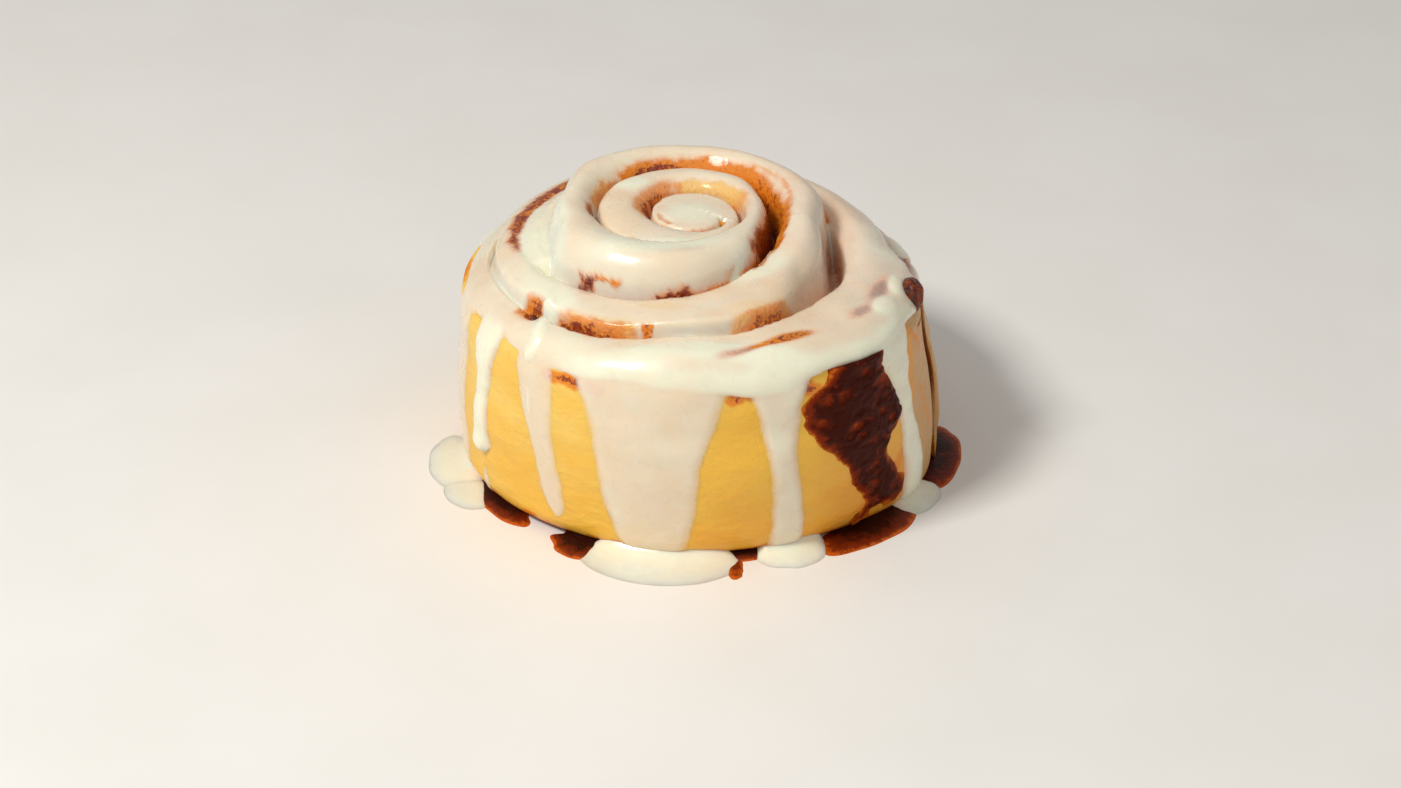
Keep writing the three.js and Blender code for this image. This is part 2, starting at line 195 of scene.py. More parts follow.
@dataclass(frozen=True)
class Coil:
    """The coiled strip's plan and heights.

    Turned angles count clockwise from the azimuth start, about the coil's middle. The slot between two
    turns follows slot.at(turned), and the strip at a turned angle lies between the slot one turn earlier
    and the slot there. Its crest drops by crease at its edges, with power saying how square it is. A skin
    over the crests falls by outward_fall and inward_fall at the edges, then at the slope bank.
    """

    middle: tuple[float, float] = (-1.6, 1.6)
    start: float = -19.0
    wall: float = WALL
    oval: float = 0.5
    foot: float = 6.0
    shoulder: float = 5.5
    shoulder_z: float = 40.0
    slot_end: float = 1440.0
    strip_end: float = 1790.0
    slot_half: float = 0.9
    crease: float = 4.2
    power: float = 2.6
    slot: Track = Track(
        (
            (0, 6.5), (63, 8.5), (155, 9), (236, 10), (300, 9.5), (360, 10.5), (407, 13.2), (430, 16),
            (460, 18.4), (510, 19.6), (545, 20.5), (580, 20.3), (611, 19.4), (645, 18.4), (687, 17.6),
            (735, 18.5), (762, 21.8), (791, 27), (831, 31), (869, 33.6), (905, 33.2), (940, 31), (971, 29),
            (1010, 28), (1045, 29), (1068, 31.2), (1088, 33.6), (1108, 34.6), (1136, 38.3), (1162, 40),
            (1200, 41.5), (1260, 41.5), (1331, 40), (1380, 41.5), (1412, 45),
        )
    )
    crest: Track = Track(
        (
            (0, 54), (330, 54.2), (431, 54.5), (540, 55.6), (720, 56.3), (791, 56.5), (860, 56.8), (971, 57),
            (1060, 56), (1110, 52), (1151, 50), (1250, 50), (1331, 49.5), (1420, 48.5), (1500, 47.8),
            (1620, 46.4), (1700, 45.6), (1750, 44.5), (1800, 42),
        )
    )
    outward_fall: Track = Track(
        (
            (0, 0.5), (330, 0.6), (380, 0.9), (430, 0.35), (500, 0.9), (545, 1.5), (600, 1.6), (680, 2.8),
            (735, 2.4), (762, 2.6), (791, 4.6), (830, 5.0), (878, 4.6), (930, 4.2), (971, 3.8), (1020, 3.4),
            (1066, 3.4), (1106, 3.2), (1136, 0.7), (1180, 0.7), (1331, 0.8), (1440, 0.9),
        )
    )
    inward_fall: Track = Track(
        (
            (0, 1.0), (63, 0.5), (120, 0.6), (170, 1.3), (236, 2.0), (300, 2.0), (352, 1.2), (390, 0.5),
            (430, 0.3), (490, 1.4), (530, 2.6), (611, 3.0), (660, 2.4), (700, 1.8), (750, 0.8), (791, 0.5),
            (830, 0.9), (878, 3), (930, 1.6), (971, 1), (1020, 1.6), (1066, 2.4), (1106, 1.2), (1136, 0.5),
            (1200, 0.5), (1331, 0.8), (1440, 0.8),
        )
    )
    bank: float = 5.0
    pockets: tuple[Pocket, ...] = (Pocket(704, 60, 1.6), Pocket(884, 38, 3.8), Pocket(1084, 42, 4.2))

    def wall_radius(self, azimuth: Array) -> Array:
        """Radius of the wall about the origin: wall + oval * cos(2 * azimuth)."""
        return self.wall + self.oval * np.cos(np.radians(2 * azimuth))

    def wall_from_middle(self, azimuth: Array) -> Array:
        """Distance from the coil's middle to the wall along an azimuth, found in six steps."""
        a = np.radians(azimuth)
        reach = np.full(np.shape(azimuth), self.wall)
        for _ in range(6):
            x = self.middle[0] + reach * np.cos(a)
            y = self.middle[1] + reach * np.sin(a)
            reach = reach + self.wall_radius(np.degrees(np.arctan2(y, x))) - np.hypot(x, y)
        return reach

    def slot_radius(self, turned: Array) -> Array:
        """Radius of the slot's middle line, easing out through the wall at its end."""
        last = self.slot.rows[-1][0]
        ease = smooth(last, self.slot_end, turned)
        return blend(self.slot.at(turned), self.wall_from_middle(self.start - turned) + self.slot_half, ease)

    def pocket_gap(self, turned: Array) -> Array:
        """Extra gap inside the slot's middle line where turns have parted."""
        gap = np.zeros(np.shape(turned))
        for pocket in self.pockets:
            gap += pocket.gap * (1 - smooth(0.35, 1.0, np.abs(turned - pocket.middle) / pocket.reach))
        return gap

    def edges(self, turned: Array, core: Array) -> tuple[Array, Array, Array]:
        """Inner radius, outer radius and crest radius of the strip.

        Args:
            turned: turned angles.
            core: 1 where the strip is the solid core, which reaches in to the axis.

        Returns:
            The three radii about the coil's middle.
        """
        inner = np.where(core > 0, 0.0, self.slot_radius(turned - TURN) + self.slot_half)
        wall = self.wall_from_middle(self.start - turned)
        outer = np.minimum(self.slot_radius(turned) - self.slot_half - self.pocket_gap(turned), wall)
        outer = np.where(turned >= self.slot_end, wall, outer)
        middle = (inner + outer) / 2
        on_coil = blend(middle, np.maximum(wall - self.shoulder, middle), self.as_wall(turned))
        return inner, outer, np.where(core > 0, 0.0, on_coil)

    def as_wall(self, turned: Array) -> Array:
        """How far the strip's outer face has become the roll's wall, from 0 to 1."""
        return smooth(self.slot_end - 40, self.slot_end + 60, turned)

    def point(self, turned: Array, radius: Array, z: Array) -> Array:
        """Points from a turned angle and a radius about the coil's middle."""
        a = np.radians(self.start - turned)
        return np.stack(
            np.broadcast_arrays(self.middle[0] + radius * np.cos(a), self.middle[1] + radius * np.sin(a), z),
            axis=-1,
        )

    def locate(self, x: Array, y: Array) -> tuple[Array, Array]:
        """Turned angle within the first turn, and radius about the coil's middle, of plan points."""
        dx, dy = x - self.middle[0], y - self.middle[1]
        return (self.start - np.degrees(np.arctan2(dy, dx))) % TURN, np.hypot(dx, dy)

    def cover(self, x: Array, y: Array, softness: float | Array) -> Array:
        """Height of a skin over the crests.

        Each turn is a bulge, crest - fall * s ** 2.2, where s is the distance from the crest line over
        the distance from there to the strip's edge, and beyond the edge it drops at the slope bank. The
        skin is the smooth largest of the turns.

        Args:
            x: plan positions.
            y: plan positions.
            softness: fillet where two turns meet.

        Returns:
            Heights.
        """
        first, radius = self.locate(x, y)
        bulges = []
        for lap in range(5):
            turned = first + TURN * lap
            inner, outer, top = self.edges(turned, np.full(np.shape(turned), float(lap == 0)))
            inside, outside = np.maximum(top - inner, 0.5), np.maximum(outer - top, 0.5)
            inward, outward = (top - radius) / inside, (radius - top) / outside
            drop = self.inward_fall.at(turned - TURN) * np.clip(inward, 0, 1) ** 2.2
            drop += self.bank * inside * np.maximum(inward - 1, 0)
            out_drop = self.outward_fall.at(turned) * np.clip(outward, 0, 1) ** 2.2
            out_drop += self.bank * outside * np.maximum(outward - 1, 0)
            bulge = self.crest.at(turned) - drop - out_drop * (1 - self.as_wall(turned))
            bulges.append(np.where(turned > self.strip_end, -99.0, bulge))
        return soft_max(np.stack(bulges), softness)

    def roof(self, plan: Array, top: Array) -> Array:
        """Height of the coil with its rounded shoulder.

        Args:
            plan: plan positions, whose z isn't used.
            top: heights of the coil's top at inward(plan).

        Returns:
            Heights: shoulder_z + (top - shoulder_z) * sqrt(1 - u * u), u being the way over the shoulder.
        """
        azimuth = np.degrees(np.arctan2(plan[..., 1], plan[..., 0]))
        far = self.wall_radius(azimuth) - self.shoulder
        u = np.clip((np.hypot(plan[..., 0], plan[..., 1]) - far) / self.shoulder, 0.0, 1.0)
        return self.shoulder_z + (top - self.shoulder_z) * np.sqrt(1 - u * u)

    def inward(self, plan: Array) -> Array:
        """Plan positions brought in to where the shoulder starts, if they lie beyond it."""
        radius = np.maximum(np.hypot(plan[..., 0], plan[..., 1]), 1e-6)
        azimuth = np.degrees(np.arctan2(plan[..., 1], plan[..., 0]))
        share = np.minimum((self.wall_radius(azimuth) - self.shoulder) / radius, 1.0)
        return plan * share[..., None]

    def unroll(self, x: Array, y: Array, about: float) -> tuple[Array, Array]:
        """Place of plan points along and beside the slot.

        Args:
            x: plan positions.
            y: plan positions.
            about: turned angle that picks the lap: half a turn each way of it is covered.

        Returns:
            Turned angles, and distances out from the slot's middle line there.
        """
        first, radius = self.locate(x, y)
        turned = about + wrap(first - about)
        return turned, radius - self.slot_radius(np.maximum(turned, 0.0))

    def slot_distance(self, x: Array, y: Array) -> Array:
        """Distance to the nearest stretch of slot."""
        laps = [self.unroll(x, y, about) for about in (180.0, 540.0, 900.0, 1260.0)]
        return np.min([np.where(turned < self.slot_end, np.abs(off), 99.0) for turned, off in laps], axis=0)


@dataclass(frozen=True)
class Relief:
    """Uneven baked surface shared by the dough and by what lies on it."""

    coarse: Noise = field(default_factory=lambda: Noise(3))
    fine: Noise = field(default_factory=lambda: Noise(8))

    def top(self, points: Array) -> Array:
        """Height added to the coil's top: 0.5 mm in swells of 13 mm and 0.2 mm in ones of 5 mm."""
        return 0.5 * self.coarse.at(points, 13.0) + 0.2 * self.fine.at(points, 5.0)

    def wall(self, points: Array) -> Array:
        """Radius added to the wall: swells of 16 mm, and flatter ones that run round it."""
        swell = 0.6 * self.coarse.at(points, (17.0, 17.0, 13.0))
        folds = 0.28 * self.fine.at(points, (11.0, 11.0, 4.2))
        return (swell + folds) * smooth(0.5, 6.0, points[..., 2])


@dataclass(frozen=True)
class Settle:
    """How the baked roll departs from an upright drum: its shoulders sag, its top and foot draw in.

    A point sinks by edge * smoothstep(height) * smoothstep(radius). It moves in by lean times two like
    shares, and by tuck times a share that fades upward. The three are curves of azimuth, in millimetres.
    """

    edge: Track = Track(
        ((-180, 4.0), (-135, 2.0), (-90, 1.0), (-45, 2.0), (0, 4.6), (45, 4.0), (90, 3.0), (135, 4.0)), TURN
    )
    lean: Track = Track(
        ((-180, 0.8), (-135, 0.3), (-90, 0.0), (-45, 0.8), (0, 4.8), (45, 3.6), (90, 1.0), (135, 0.8)), TURN
    )
    tuck: Track = Track(
        (
            (-180, 0.0), (-160, 0.6), (-125, 3.2), (-90, 3.8), (-50, 3.2), (-25, 0.8), (0, 0.2), (90, 1.5),
            (140, 1.0),
        ),
        TURN,
    )

    def apply(self, points: Array) -> Array:
        """Points after settling."""
        azimuth = np.degrees(np.arctan2(points[..., 1], points[..., 0]))
        radius = np.hypot(points[..., 0], points[..., 1])
        z = points[..., 2]
        sink = self.edge.at(azimuth) * smooth(22, 48, z) * smooth(33, 50, radius)
        inward = self.lean.at(azimuth) * smooth(8, 46, z) + self.tuck.at(azimuth) * (1 - smooth(0, 26, z))
        keep = 1 - inward / WALL * smooth(20, 48, radius)
        return np.stack([points[..., 0] * keep, points[..., 1] * keep, z - sink], axis=-1)


# ---- Putting shapes into meshes ----


def mesh_object(
    name: str, points: Array, faces: list[Array], attributes: dict[str, Array]
) -> bpy.types.Object:
    """Makes a smooth-shaded mesh object.

    Args:
        name: object name.
        points: positions in millimetres, one row each.
        faces: index arrays, one row a face; the arrays may differ in corners a face.
        attributes: one number a point for each named attribute.

    Returns:
        The object, linked into the scene.
    """
    mesh = bpy.data.meshes.new(name)
    mesh.vertices.add(len(points))
    mesh.vertices.foreach_set("co", (points * MM).astype(np.float32).ravel())
    counts = np.concatenate([np.full(len(f), f.shape[1]) for f in faces])
    loops = np.concatenate([f.ravel() for f in faces])
    mesh.loops.add(len(loops))
    mesh.loops.foreach_set("vertex_index", loops.astype(np.int32))
    mesh.polygons.add(len(counts))
    mesh.polygons.foreach_set("loop_start", np.concatenate([[0], np.cumsum(counts)[:-1]]).astype(np.int32))
    mesh.polygons.foreach_set("use_smooth", np.ones(len(counts), dtype=bool))
    mesh.update(calc_edges=True)
    mesh.validate()
    for key, values in attributes.items():
        layer = mesh.attributes.new(key, "FLOAT", "POINT")
        layer.data.foreach_set("value", values.astype(np.float32))
    made = bpy.data.objects.new(name, mesh)
    bpy.context.scene.collection.objects.link(made)
    return made


def grid_faces(rows: int, columns: int, closed: bool) -> Array:
    """Quads of a grid of points, row by row; closed joins the last column to the first."""
    i, j = np.meshgrid(np.arange(rows - 1), np.arange(columns if closed else columns - 1), indexing="ij")
    k = (j + 1) % columns
    quads = np.stack([i * columns + j, i * columns + k, (i + 1) * columns + k, (i + 1) * columns + j], -1)
    return quads.reshape(-1, 4)


def loft_object(name: str, rings: Array, attributes: dict[str, Array]) -> bpy.types.Object:
    """Skin of rings carried along a path, with a fan on a middle point at each end.

    Args:
        name: object name.
        rings: points shaped (ring, point of the ring, 3), turning the way that faces outward.
        attributes: numbers shaped (ring, point of the ring).

    Returns:
        The object.
    """
    count, around = rings.shape[:2]
    points = np.vstack([rings.reshape(-1, 3), rings[0].mean(0), rings[-1].mean(0)])
    extra = {
        key: np.concatenate([v.ravel(), [v[0].mean(), v[-1].mean()]]) for key, v in attributes.items()
    }
    j = np.arange(around)
    k = (j + 1) % around
    start, end = count * around, count * around + 1
    first = np.stack([np.full(around, start), k, j], -1)
    last = np.stack([np.full(around, end), (count - 1) * around + j, (count - 1) * around + k], -1)
    return mesh_object(name, points, [grid_faces(count, around, True), first, last], extra)


@dataclass
class Skin:
    """Coating on a base surface, whose thickness may fall below nothing, where it isn't there.

    The base is a grid of points. It closes on itself sideways if around, and its first row closes on a
    middle point if pole. The outer face is base + normal * thickness, and the inner face lies backing
    under the lower of the two. Blocks of two by two cells are kept where the coating is thicker than
    keep_above, so that its edges run on into the piece beneath.
    """

    name: str
    base: Array
    normal: Array
    thick: Array
    backing: float = 0.5
    keep_above: float = -0.3
    pole: bool = False
    around: bool = True

    def build(self, attributes: dict[str, Array]) -> bpy.types.Object:
        """Makes the closed mesh.

        Args:
            attributes: numbers shaped as the grid.

        Returns:
            The object.
        """
        rows, columns = self.thick.shape
        outer = Settle().apply(self.base + self.normal * self.thick[..., None])
        under = np.minimum(self.thick, 0.0) - self.backing
        inner = Settle().apply(self.base + self.normal * under[..., None])
        shown = self.thick > self.keep_above
        block_rows = (rows - 1) // 2
        block_columns = columns // 2 if self.around else (columns - 1) // 2
        r, c = np.meshgrid(2 * np.arange(block_rows), 2 * np.arange(block_columns), indexing="ij")
        kept = np.zeros((block_rows, block_columns), dtype=bool)
        for dr, dc in np.ndindex(3, 3):
            kept |= shown[r + dr, (c + dc) % columns]
        kept = self.tidy(kept)
        index = np.arange(rows * columns).reshape(rows, columns)

        def at(dr: int | Array, dc: int | Array, where: Array) -> Array:
            """Outer point numbers at an offset from the kept blocks' corners."""
            return index[(r + dr)[where], ((c + dc) % columns)[where]]

        faces = []
        for dr, dc in np.ndindex(2, 2):
            corners = ((dr, dc), (dr + 1, dc), (dr + 1, dc + 1), (dr, dc + 1))
            faces.append(np.stack([at(*corner, kept) for corner in corners], -1))
        under = rows * columns
        block = ((0, 0), (0, 2), (2, 2), (2, 0))
        faces.append(under + np.stack([at(*corner, kept) for corner in block], -1))
        sides = []
        padded = np.pad(kept, 1)
        if self.around:
            padded[1:-1, 0], padded[1:-1, -1] = kept[:, -1], kept[:, 0]
        if self.pole:
            padded[0, 1:-1] = True
        borders = (
            (kept & ~padded[:-2, 1:-1], (0, 2), (0, 1), (0, 0)),
            (kept & ~padded[2:, 1:-1], (2, 0), (2, 1), (2, 2)),
            (kept & ~padded[1:-1, :-2], (0, 0), (1, 0), (2, 0)),
            (kept & ~padded[1:-1, 2:], (2, 2), (1, 2), (0, 2)),
        )
        for where, a, m, b in borders:
            pa, pm, pb = at(*a, where), at(*m, where), at(*b, where)
            sides += [
                np.stack([pb, pm, pb + under], -1),
                np.stack([pm, pa + under, pb + under], -1),
                np.stack([pm, pa, pa + under], -1),
            ]
        points = np.vstack([outer.reshape(-1, 3), inner.reshape(-1, 3)])
        numbers = {key: np.concatenate([v.ravel(), v.ravel()]) for key, v in attributes.items()}
        if self.pole:
            top = len(points)
            points = np.vstack([points, outer[0].mean(0), inner[0].mean(0)])
            numbers = {key: np.concatenate([v, [v[0], v[0]]]) for key, v in numbers.items()}
            j = np.arange(columns)
            sides.append(np.stack([np.full(columns, top), j, (j + 1) % columns], -1))
            j = 2 * np.arange(columns // 2)
            sides.append(np.stack([np.full(len(j), top + 1), under + (j + 2) % columns, under + j], -1))
        return self.compact(points, faces, sides, numbers)

    def tidy(self, kept: Array) -> Array:
        """Drops kept blocks that touch another only at a corner, and fills holes that do."""
        for _ in range(6):
            near = np.roll(kept, -1, 1) if self.around else np.pad(kept, ((0, 0), (0, 1)))[:, 1:]
            down = np.vstack([kept[1:], kept[-1:]])
            across = np.vstack([near[1:], near[-1:]])
            pinch = (kept & across & ~near & ~down) | (~kept & ~across & near & down)
            if not pinch.any():
                break
            kept = kept | pinch
            kept |= np.roll(pinch, 1, 1) if self.around else np.pad(pinch, ((0, 0), (1, 0)))[:, :-1]
        return kept

    def compact(
        self, points: Array, faces: list[Array], sides: list[Array], numbers: dict[str, Array]
    ) -> bpy.types.Object:
        """Leaves out unused points and makes the object."""
        groups = [np.concatenate(faces), np.concatenate(sides)]
        used = np.unique(np.concatenate([g.ravel() for g in groups]))
        renumber = np.full(len(points), -1)
        renumber[used] = np.arange(len(used))
        kept_numbers = {key: values[used] for key, values in numbers.items()}
        return mesh_object(self.name, points[used], [renumber[g] for g in groups if len(g)], kept_numbers)


# ---- Finishes ----


class Nodes:
    """Short ways to lay out one material's nodes."""

    MIX_A, MIX_B, MIX_COLOUR = 6, 7, 2  # the colour sockets of a mix node

    def __init__(self, name: str) -> None:
        """Makes a material with a bare surface shader."""
        self.material = bpy.data.materials.new(name)
        self.material.use_nodes = True
        self.tree = self.material.node_tree
        self.shader = self.tree.nodes["Principled BSDF"]

    def add(self, kind: str, **settings: object) -> bpy.types.Node:
        """New node with its plain settings."""
        node = self.tree.nodes.new(kind)
        for key, value in settings.items():
            setattr(node, key, value)
        return node

    def wire(self, source: object, target: bpy.types.NodeSocket) -> None:
        """Links a socket, or sets a plain value."""
        if isinstance(source, bpy.types.NodeSocket):
            self.tree.links.new(source, target)
        else:
            target.default_value = source

    def where(self) -> bpy.types.NodeSocket:
        """Object coordinates."""
        return self.add("ShaderNodeTexCoord").outputs["Object"]

    def value(self, attribute: str) -> bpy.types.NodeSocket:
        """A number stored on the mesh."""
        return self.add("ShaderNodeAttribute", attribute_name=attribute).outputs["Fac"]

    def noise(
        self,
        size_mm: float,
        detail: float = 3.0,
        stretch: tuple[float, float, float] = (1, 1, 1),
        rough: float = 0.5,
    ) -> bpy.types.NodeSocket:
        """Noise whose swells are about size_mm across, from 0 to 1.

        Args:
            size_mm: size of the largest swells.
            detail: number of finer layers.
            stretch: how much tighter the noise is along each axis.
            rough: height of the finer layers.

        Returns:
            The noise's number socket.
        """
        mapping = self.add("ShaderNodeMapping")
        mapping.inputs["Scale"].default_value = stretch
        self.wire(self.where(), mapping.inputs["Vector"])
        node = self.add("ShaderNodeTexNoise")
        node.inputs["Scale"].default_value = 1.0 / (size_mm * MM)
        node.inputs["Detail"].default_value = detail
        node.inputs["Roughness"].default_value = rough
        self.wire(mapping.outputs["Vector"], node.inputs["Vector"])
        return node.outputs["Fac"]

    def math(self, operation: str, *inputs: object, clamp: bool = False) -> bpy.types.NodeSocket:
        """One sum on numbers."""
        node = self.add("ShaderNodeMath", operation=operation, use_clamp=clamp)
        for socket, source in zip(node.inputs, inputs):
            self.wire(source, socket)
        return node.outputs[0]

    def spread(
        self, source: object, low: float, high: float, out_low: float = 0.0, out_high: float = 1.0
    ) -> bpy.types.NodeSocket:
        """Smooth change from out_low to out_high as the source goes from low to high."""
        node = self.add("ShaderNodeMapRange", interpolation_type="SMOOTHSTEP")
        for socket, value in zip(node.inputs, (source, low, high, out_low, out_high)):
            self.wire(value, socket)
        return node.outputs[0]

    def mix(self, share: object, a: object, b: object) -> bpy.types.NodeSocket:
        """Mix of two colours."""
        node = self.add("ShaderNodeMix", data_type="RGBA")
        self.wire(share, node.inputs[0])
        self.wire(a, node.inputs[self.MIX_A])
        self.wire(b, node.inputs[self.MIX_B])
        return node.outputs[self.MIX_COLOUR]

    def bump(self, height: object, depth_mm: float, under: object | None = None) -> bpy.types.NodeSocket:
        """Bump of that depth for a height from 0 to 1."""
        node = self.add("ShaderNodeBump")
        node.inputs["Strength"].default_value = 1.0
        node.inputs["Distance"].default_value = depth_mm * MM
        self.wire(height, node.inputs["Height"])
        if under is not None:
            self.wire(under, node.inputs["Normal"])
        return node.outputs["Normal"]

    def set(self, **values: float | tuple[float, ...]) -> None:
        """Plain values on the surface shader, with underscores for the spaces in their names."""
        for key, value in values.items():
            self.shader.inputs[key.replace("_", " ")].default_value = value


def shade(red: float, green: float, blue: float) -> tuple[float, float, float, float]:
    """Colour from display values of 0 to 255, as light: ((v / 255 + 0.055) / 1.055) ** 2.4."""
    return tuple(((v / 255 + 0.055) / 1.055) ** 2.4 for v in (red, green, blue)) + (1.0,)


@dataclass(frozen=True)
class BakedColour:
    """Colours of baked dough, which thin icing lets through: golden, more orange low down, stained, and tan,
    which on the right side is partly painted shade.
    """

    pale: tuple[float, ...] = shade(250, 210, 108)
    gold: tuple[float, ...] = shade(248, 192, 66)
    deep: tuple[float, ...] = shade(240, 160, 44)
    orange: tuple[float, ...] = shade(236, 138, 26)
    red: tuple[float, ...] = shade(152, 56, 12)
    dark: tuple[float, ...] = shade(78, 26, 8)
    # tan: partly painted shade for the right side, which faces away from the key light, and partly a duller
    # baked skin
    tan: tuple[float, ...] = shade(212, 164, 106)

    def on(self, n: Nodes) -> bpy.types.NodeSocket:
        """Colour from the mesh's numbers low and stain, which are 0 where neither tells.

        Args:
            n: the material's nodes.

        Returns:
            The colour socket.
        """
        swell = n.noise(14.0, 3.0, (1, 1, 1.3), 0.55)
        tone = n.math("ADD", n.math("MULTIPLY", n.math("SUBTRACT", swell, 0.5), 0.9), n.value("low"))
        colour = n.mix(n.spread(tone, -0.1, 0.45), self.pale, self.gold)
        colour = n.mix(n.spread(tone, 0.4, 1.15), colour, self.deep)
        colour = n.mix(n.spread(tone, 1.3, 1.9), colour, self.tan)
        pores = n.noise(1.1, 3.0, (1, 1, 1.3), 0.6)
        colour = n.mix(n.spread(pores, 0.58, 0.8, 0.0, 0.34), colour, self.orange)
        specks = n.math("SUBTRACT", n.noise(0.8, 3.0, rough=0.7), 0.5)
        clumps = n.math("SUBTRACT", n.noise(2.6, 3.0, rough=0.6), 0.5)
        stain = n.value("stain")
        patchy = n.math("ADD", stain, n.math("MULTIPLY", clumps, 0.5))
        patchy = n.math("MULTIPLY", patchy, n.spread(stain, 0.0, 0.12))
        colour = n.mix(n.spread(patchy, 0.02, 0.3), colour, self.orange)
        speckled = n.math("ADD", patchy, n.math("MULTIPLY", specks, 1.3))
        speckled = n.math("MULTIPLY", speckled, n.spread(stain, 0.05, 0.3))
        colour = n.mix(n.spread(speckled, 0.46, 0.66), colour, self.red)
        return n.mix(n.spread(speckled, 0.72, 1.0), colour, self.dark)


@dataclass(frozen=True)
class DoughFinish:
    """Soft baked dough: moist, with fine pores and shallow dents."""

    colour: BakedColour = BakedColour()

    def make(self) -> bpy.types.Material:
        """Builds the material."""
        n = Nodes("baked dough")
        n.wire(self.colour.on(n), n.shader.inputs["Base Color"])
        n.wire(n.spread(n.noise(3.0), 0.3, 0.7, 0.42, 0.6), n.shader.inputs["Roughness"])
        n.set(Subsurface_Weight=0.3, Subsurface_Radius=(1.0, 0.5, 0.2), Subsurface_Scale=0.002)
        n.set(Coat_Weight=0.2, Coat_Roughness=0.3, Specular_IOR_Level=0.4)
        fine = n.bump(n.noise(0.6, 3.0, (1, 1, 1.4)), 0.08)
        n.wire(n.bump(n.noise(4.5, 4.0, (1, 1, 1.8), 0.6), 0.55, fine), n.shader.inputs["Normal"])
        return n.material


@dataclass(frozen=True)
class CinnamonFinish:
    """Gritty wet filling: near black in its hollows and red-brown on its lumps."""

    dark: tuple[float, ...] = shade(72, 24, 8)
    red: tuple[float, ...] = shade(156, 66, 18)

    def make(self) -> bpy.types.Material:
        """Builds the material."""
        n = Nodes("cinnamon filling")
        lumps = n.noise(1.5, 5.0, rough=0.65)
        n.wire(n.mix(n.spread(lumps, 0.42, 0.7), self.dark, self.red), n.shader.inputs["Base Color"])
        n.wire(n.spread(n.noise(1.0), 0.35, 0.7, 0.2, 0.5), n.shader.inputs["Roughness"])
        n.set(Coat_Weight=0.25, Coat_Roughness=0.1, Specular_IOR_Level=0.25)
        grit = n.bump(n.noise(0.5, 3.0, rough=0.7), 0.14)
        n.wire(n.bump(lumps, 0.6, grit), n.shader.inputs["Normal"])
        return n.material


@dataclass(frozen=True)
class SmearFinish:
    """Baked-out filling on the wall: near black where it is thick, orange where it is thin."""

    thin: tuple[float, ...] = shade(204, 104, 26)
    red: tuple[float, ...] = shade(132, 44, 8)
    dark: tuple[float, ...] = shade(66, 17, 3)

    def make(self) -> bpy.types.Material:
        """Builds the material."""
        n = Nodes("cinnamon smear")
        lumps = n.noise(2.6, 5.0, (1, 1, 0.8), 0.7)
        specks = n.noise(0.7, 3.0, rough=0.75)
        film = n.math("ADD", n.value("film"), n.math("MULTIPLY", n.math("SUBTRACT", lumps, 0.5), 1.3))
        film = n.math("ADD", film, n.math("MULTIPLY", n.math("SUBTRACT", specks, 0.5), 0.7))
        colour = n.mix(n.spread(film, -0.1, 0.26), self.thin, self.red)
        colour = n.mix(n.spread(film, 0.2, 0.8), colour, self.dark)
        n.wire(colour, n.shader.inputs["Base Color"])
        n.wire(n.spread(lumps, 0.35, 0.7, 0.3, 0.6), n.shader.inputs["Roughness"])
        n.set(Coat_Weight=0.07, Coat_Roughness=0.05, Specular_IOR_Level=0.03)
        grit = n.bump(n.noise(0.5, 4.0, rough=0.75), 0.12)
        n.wire(n.bump(n.noise(1.7, 4.0, (1, 1, 0.7), 0.65), 0.5, grit), n.shader.inputs["Normal"])
        return n.material


@dataclass(frozen=True)
class IcingFinish:
    """Cream icing: opaque where it is thick, milky where it is thin, and clear where it gives out."""

    baked: BakedColour = BakedColour()
    cream: tuple[float, ...] = shade(251, 245, 220)
    warm: tuple[float, ...] = shade(250, 239, 214)
    milky: tuple[float, ...] = shade(246, 222, 202)
    depth_mm: float = 0.26

    def make(self) -> bpy.types.Material:
        """Builds the material; the cover of a film is 1 - exp(-film / depth)."""
        n = Nodes("cream icing")
        film = n.value("film")
        blotch = n.math("SUBTRACT", n.noise(6.0, 1.0), 0.5)
        uneven = n.math("MULTIPLY", film, n.math("ADD", 1.0, n.math("MULTIPLY", blotch, 0.7)))
        left = n.math("EXPONENT", n.math("MULTIPLY", uneven, -1.0 / self.depth_mm))
        cover = n.math("SUBTRACT", 1.0, left, clamp=True)
        body = n.mix(n.spread(n.noise(12.0, 1.0), 0.35, 0.65), self.cream, self.warm)
        body = n.mix(n.spread(uneven, 0.35, 1.1), self.milky, body)
        specks = n.spread(n.noise(1.3, 4.0, rough=0.8), 0.735, 0.8, 0.0, 0.55)
        body = n.mix(specks, body, self.baked.orange)
        n.wire(n.mix(cover, self.baked.on(n), body), n.shader.inputs["Base Color"])
        n.wire(n.spread(n.noise(4.0, 1.0), 0.3, 0.7, 0.24, 0.36), n.shader.inputs["Roughness"])
        n.wire(n.math("MULTIPLY", cover, 0.5), n.shader.inputs["Subsurface Weight"])
        n.set(Subsurface_Radius=(1.0, 0.65, 0.38), Subsurface_Scale=0.0025, Specular_IOR_Level=0.4)
        n.set(Coat_Weight=0.4, Coat_Roughness=0.12)
        gritty = n.math("MULTIPLY", n.noise(0.9, 4.0, rough=0.7), n.math("SUBTRACT", 1.0, cover))
        fine = n.bump(gritty, 0.5)
        n.wire(n.bump(n.noise(5.0, 1.0), 0.12, fine), n.shader.inputs["Normal"])
        return n.material


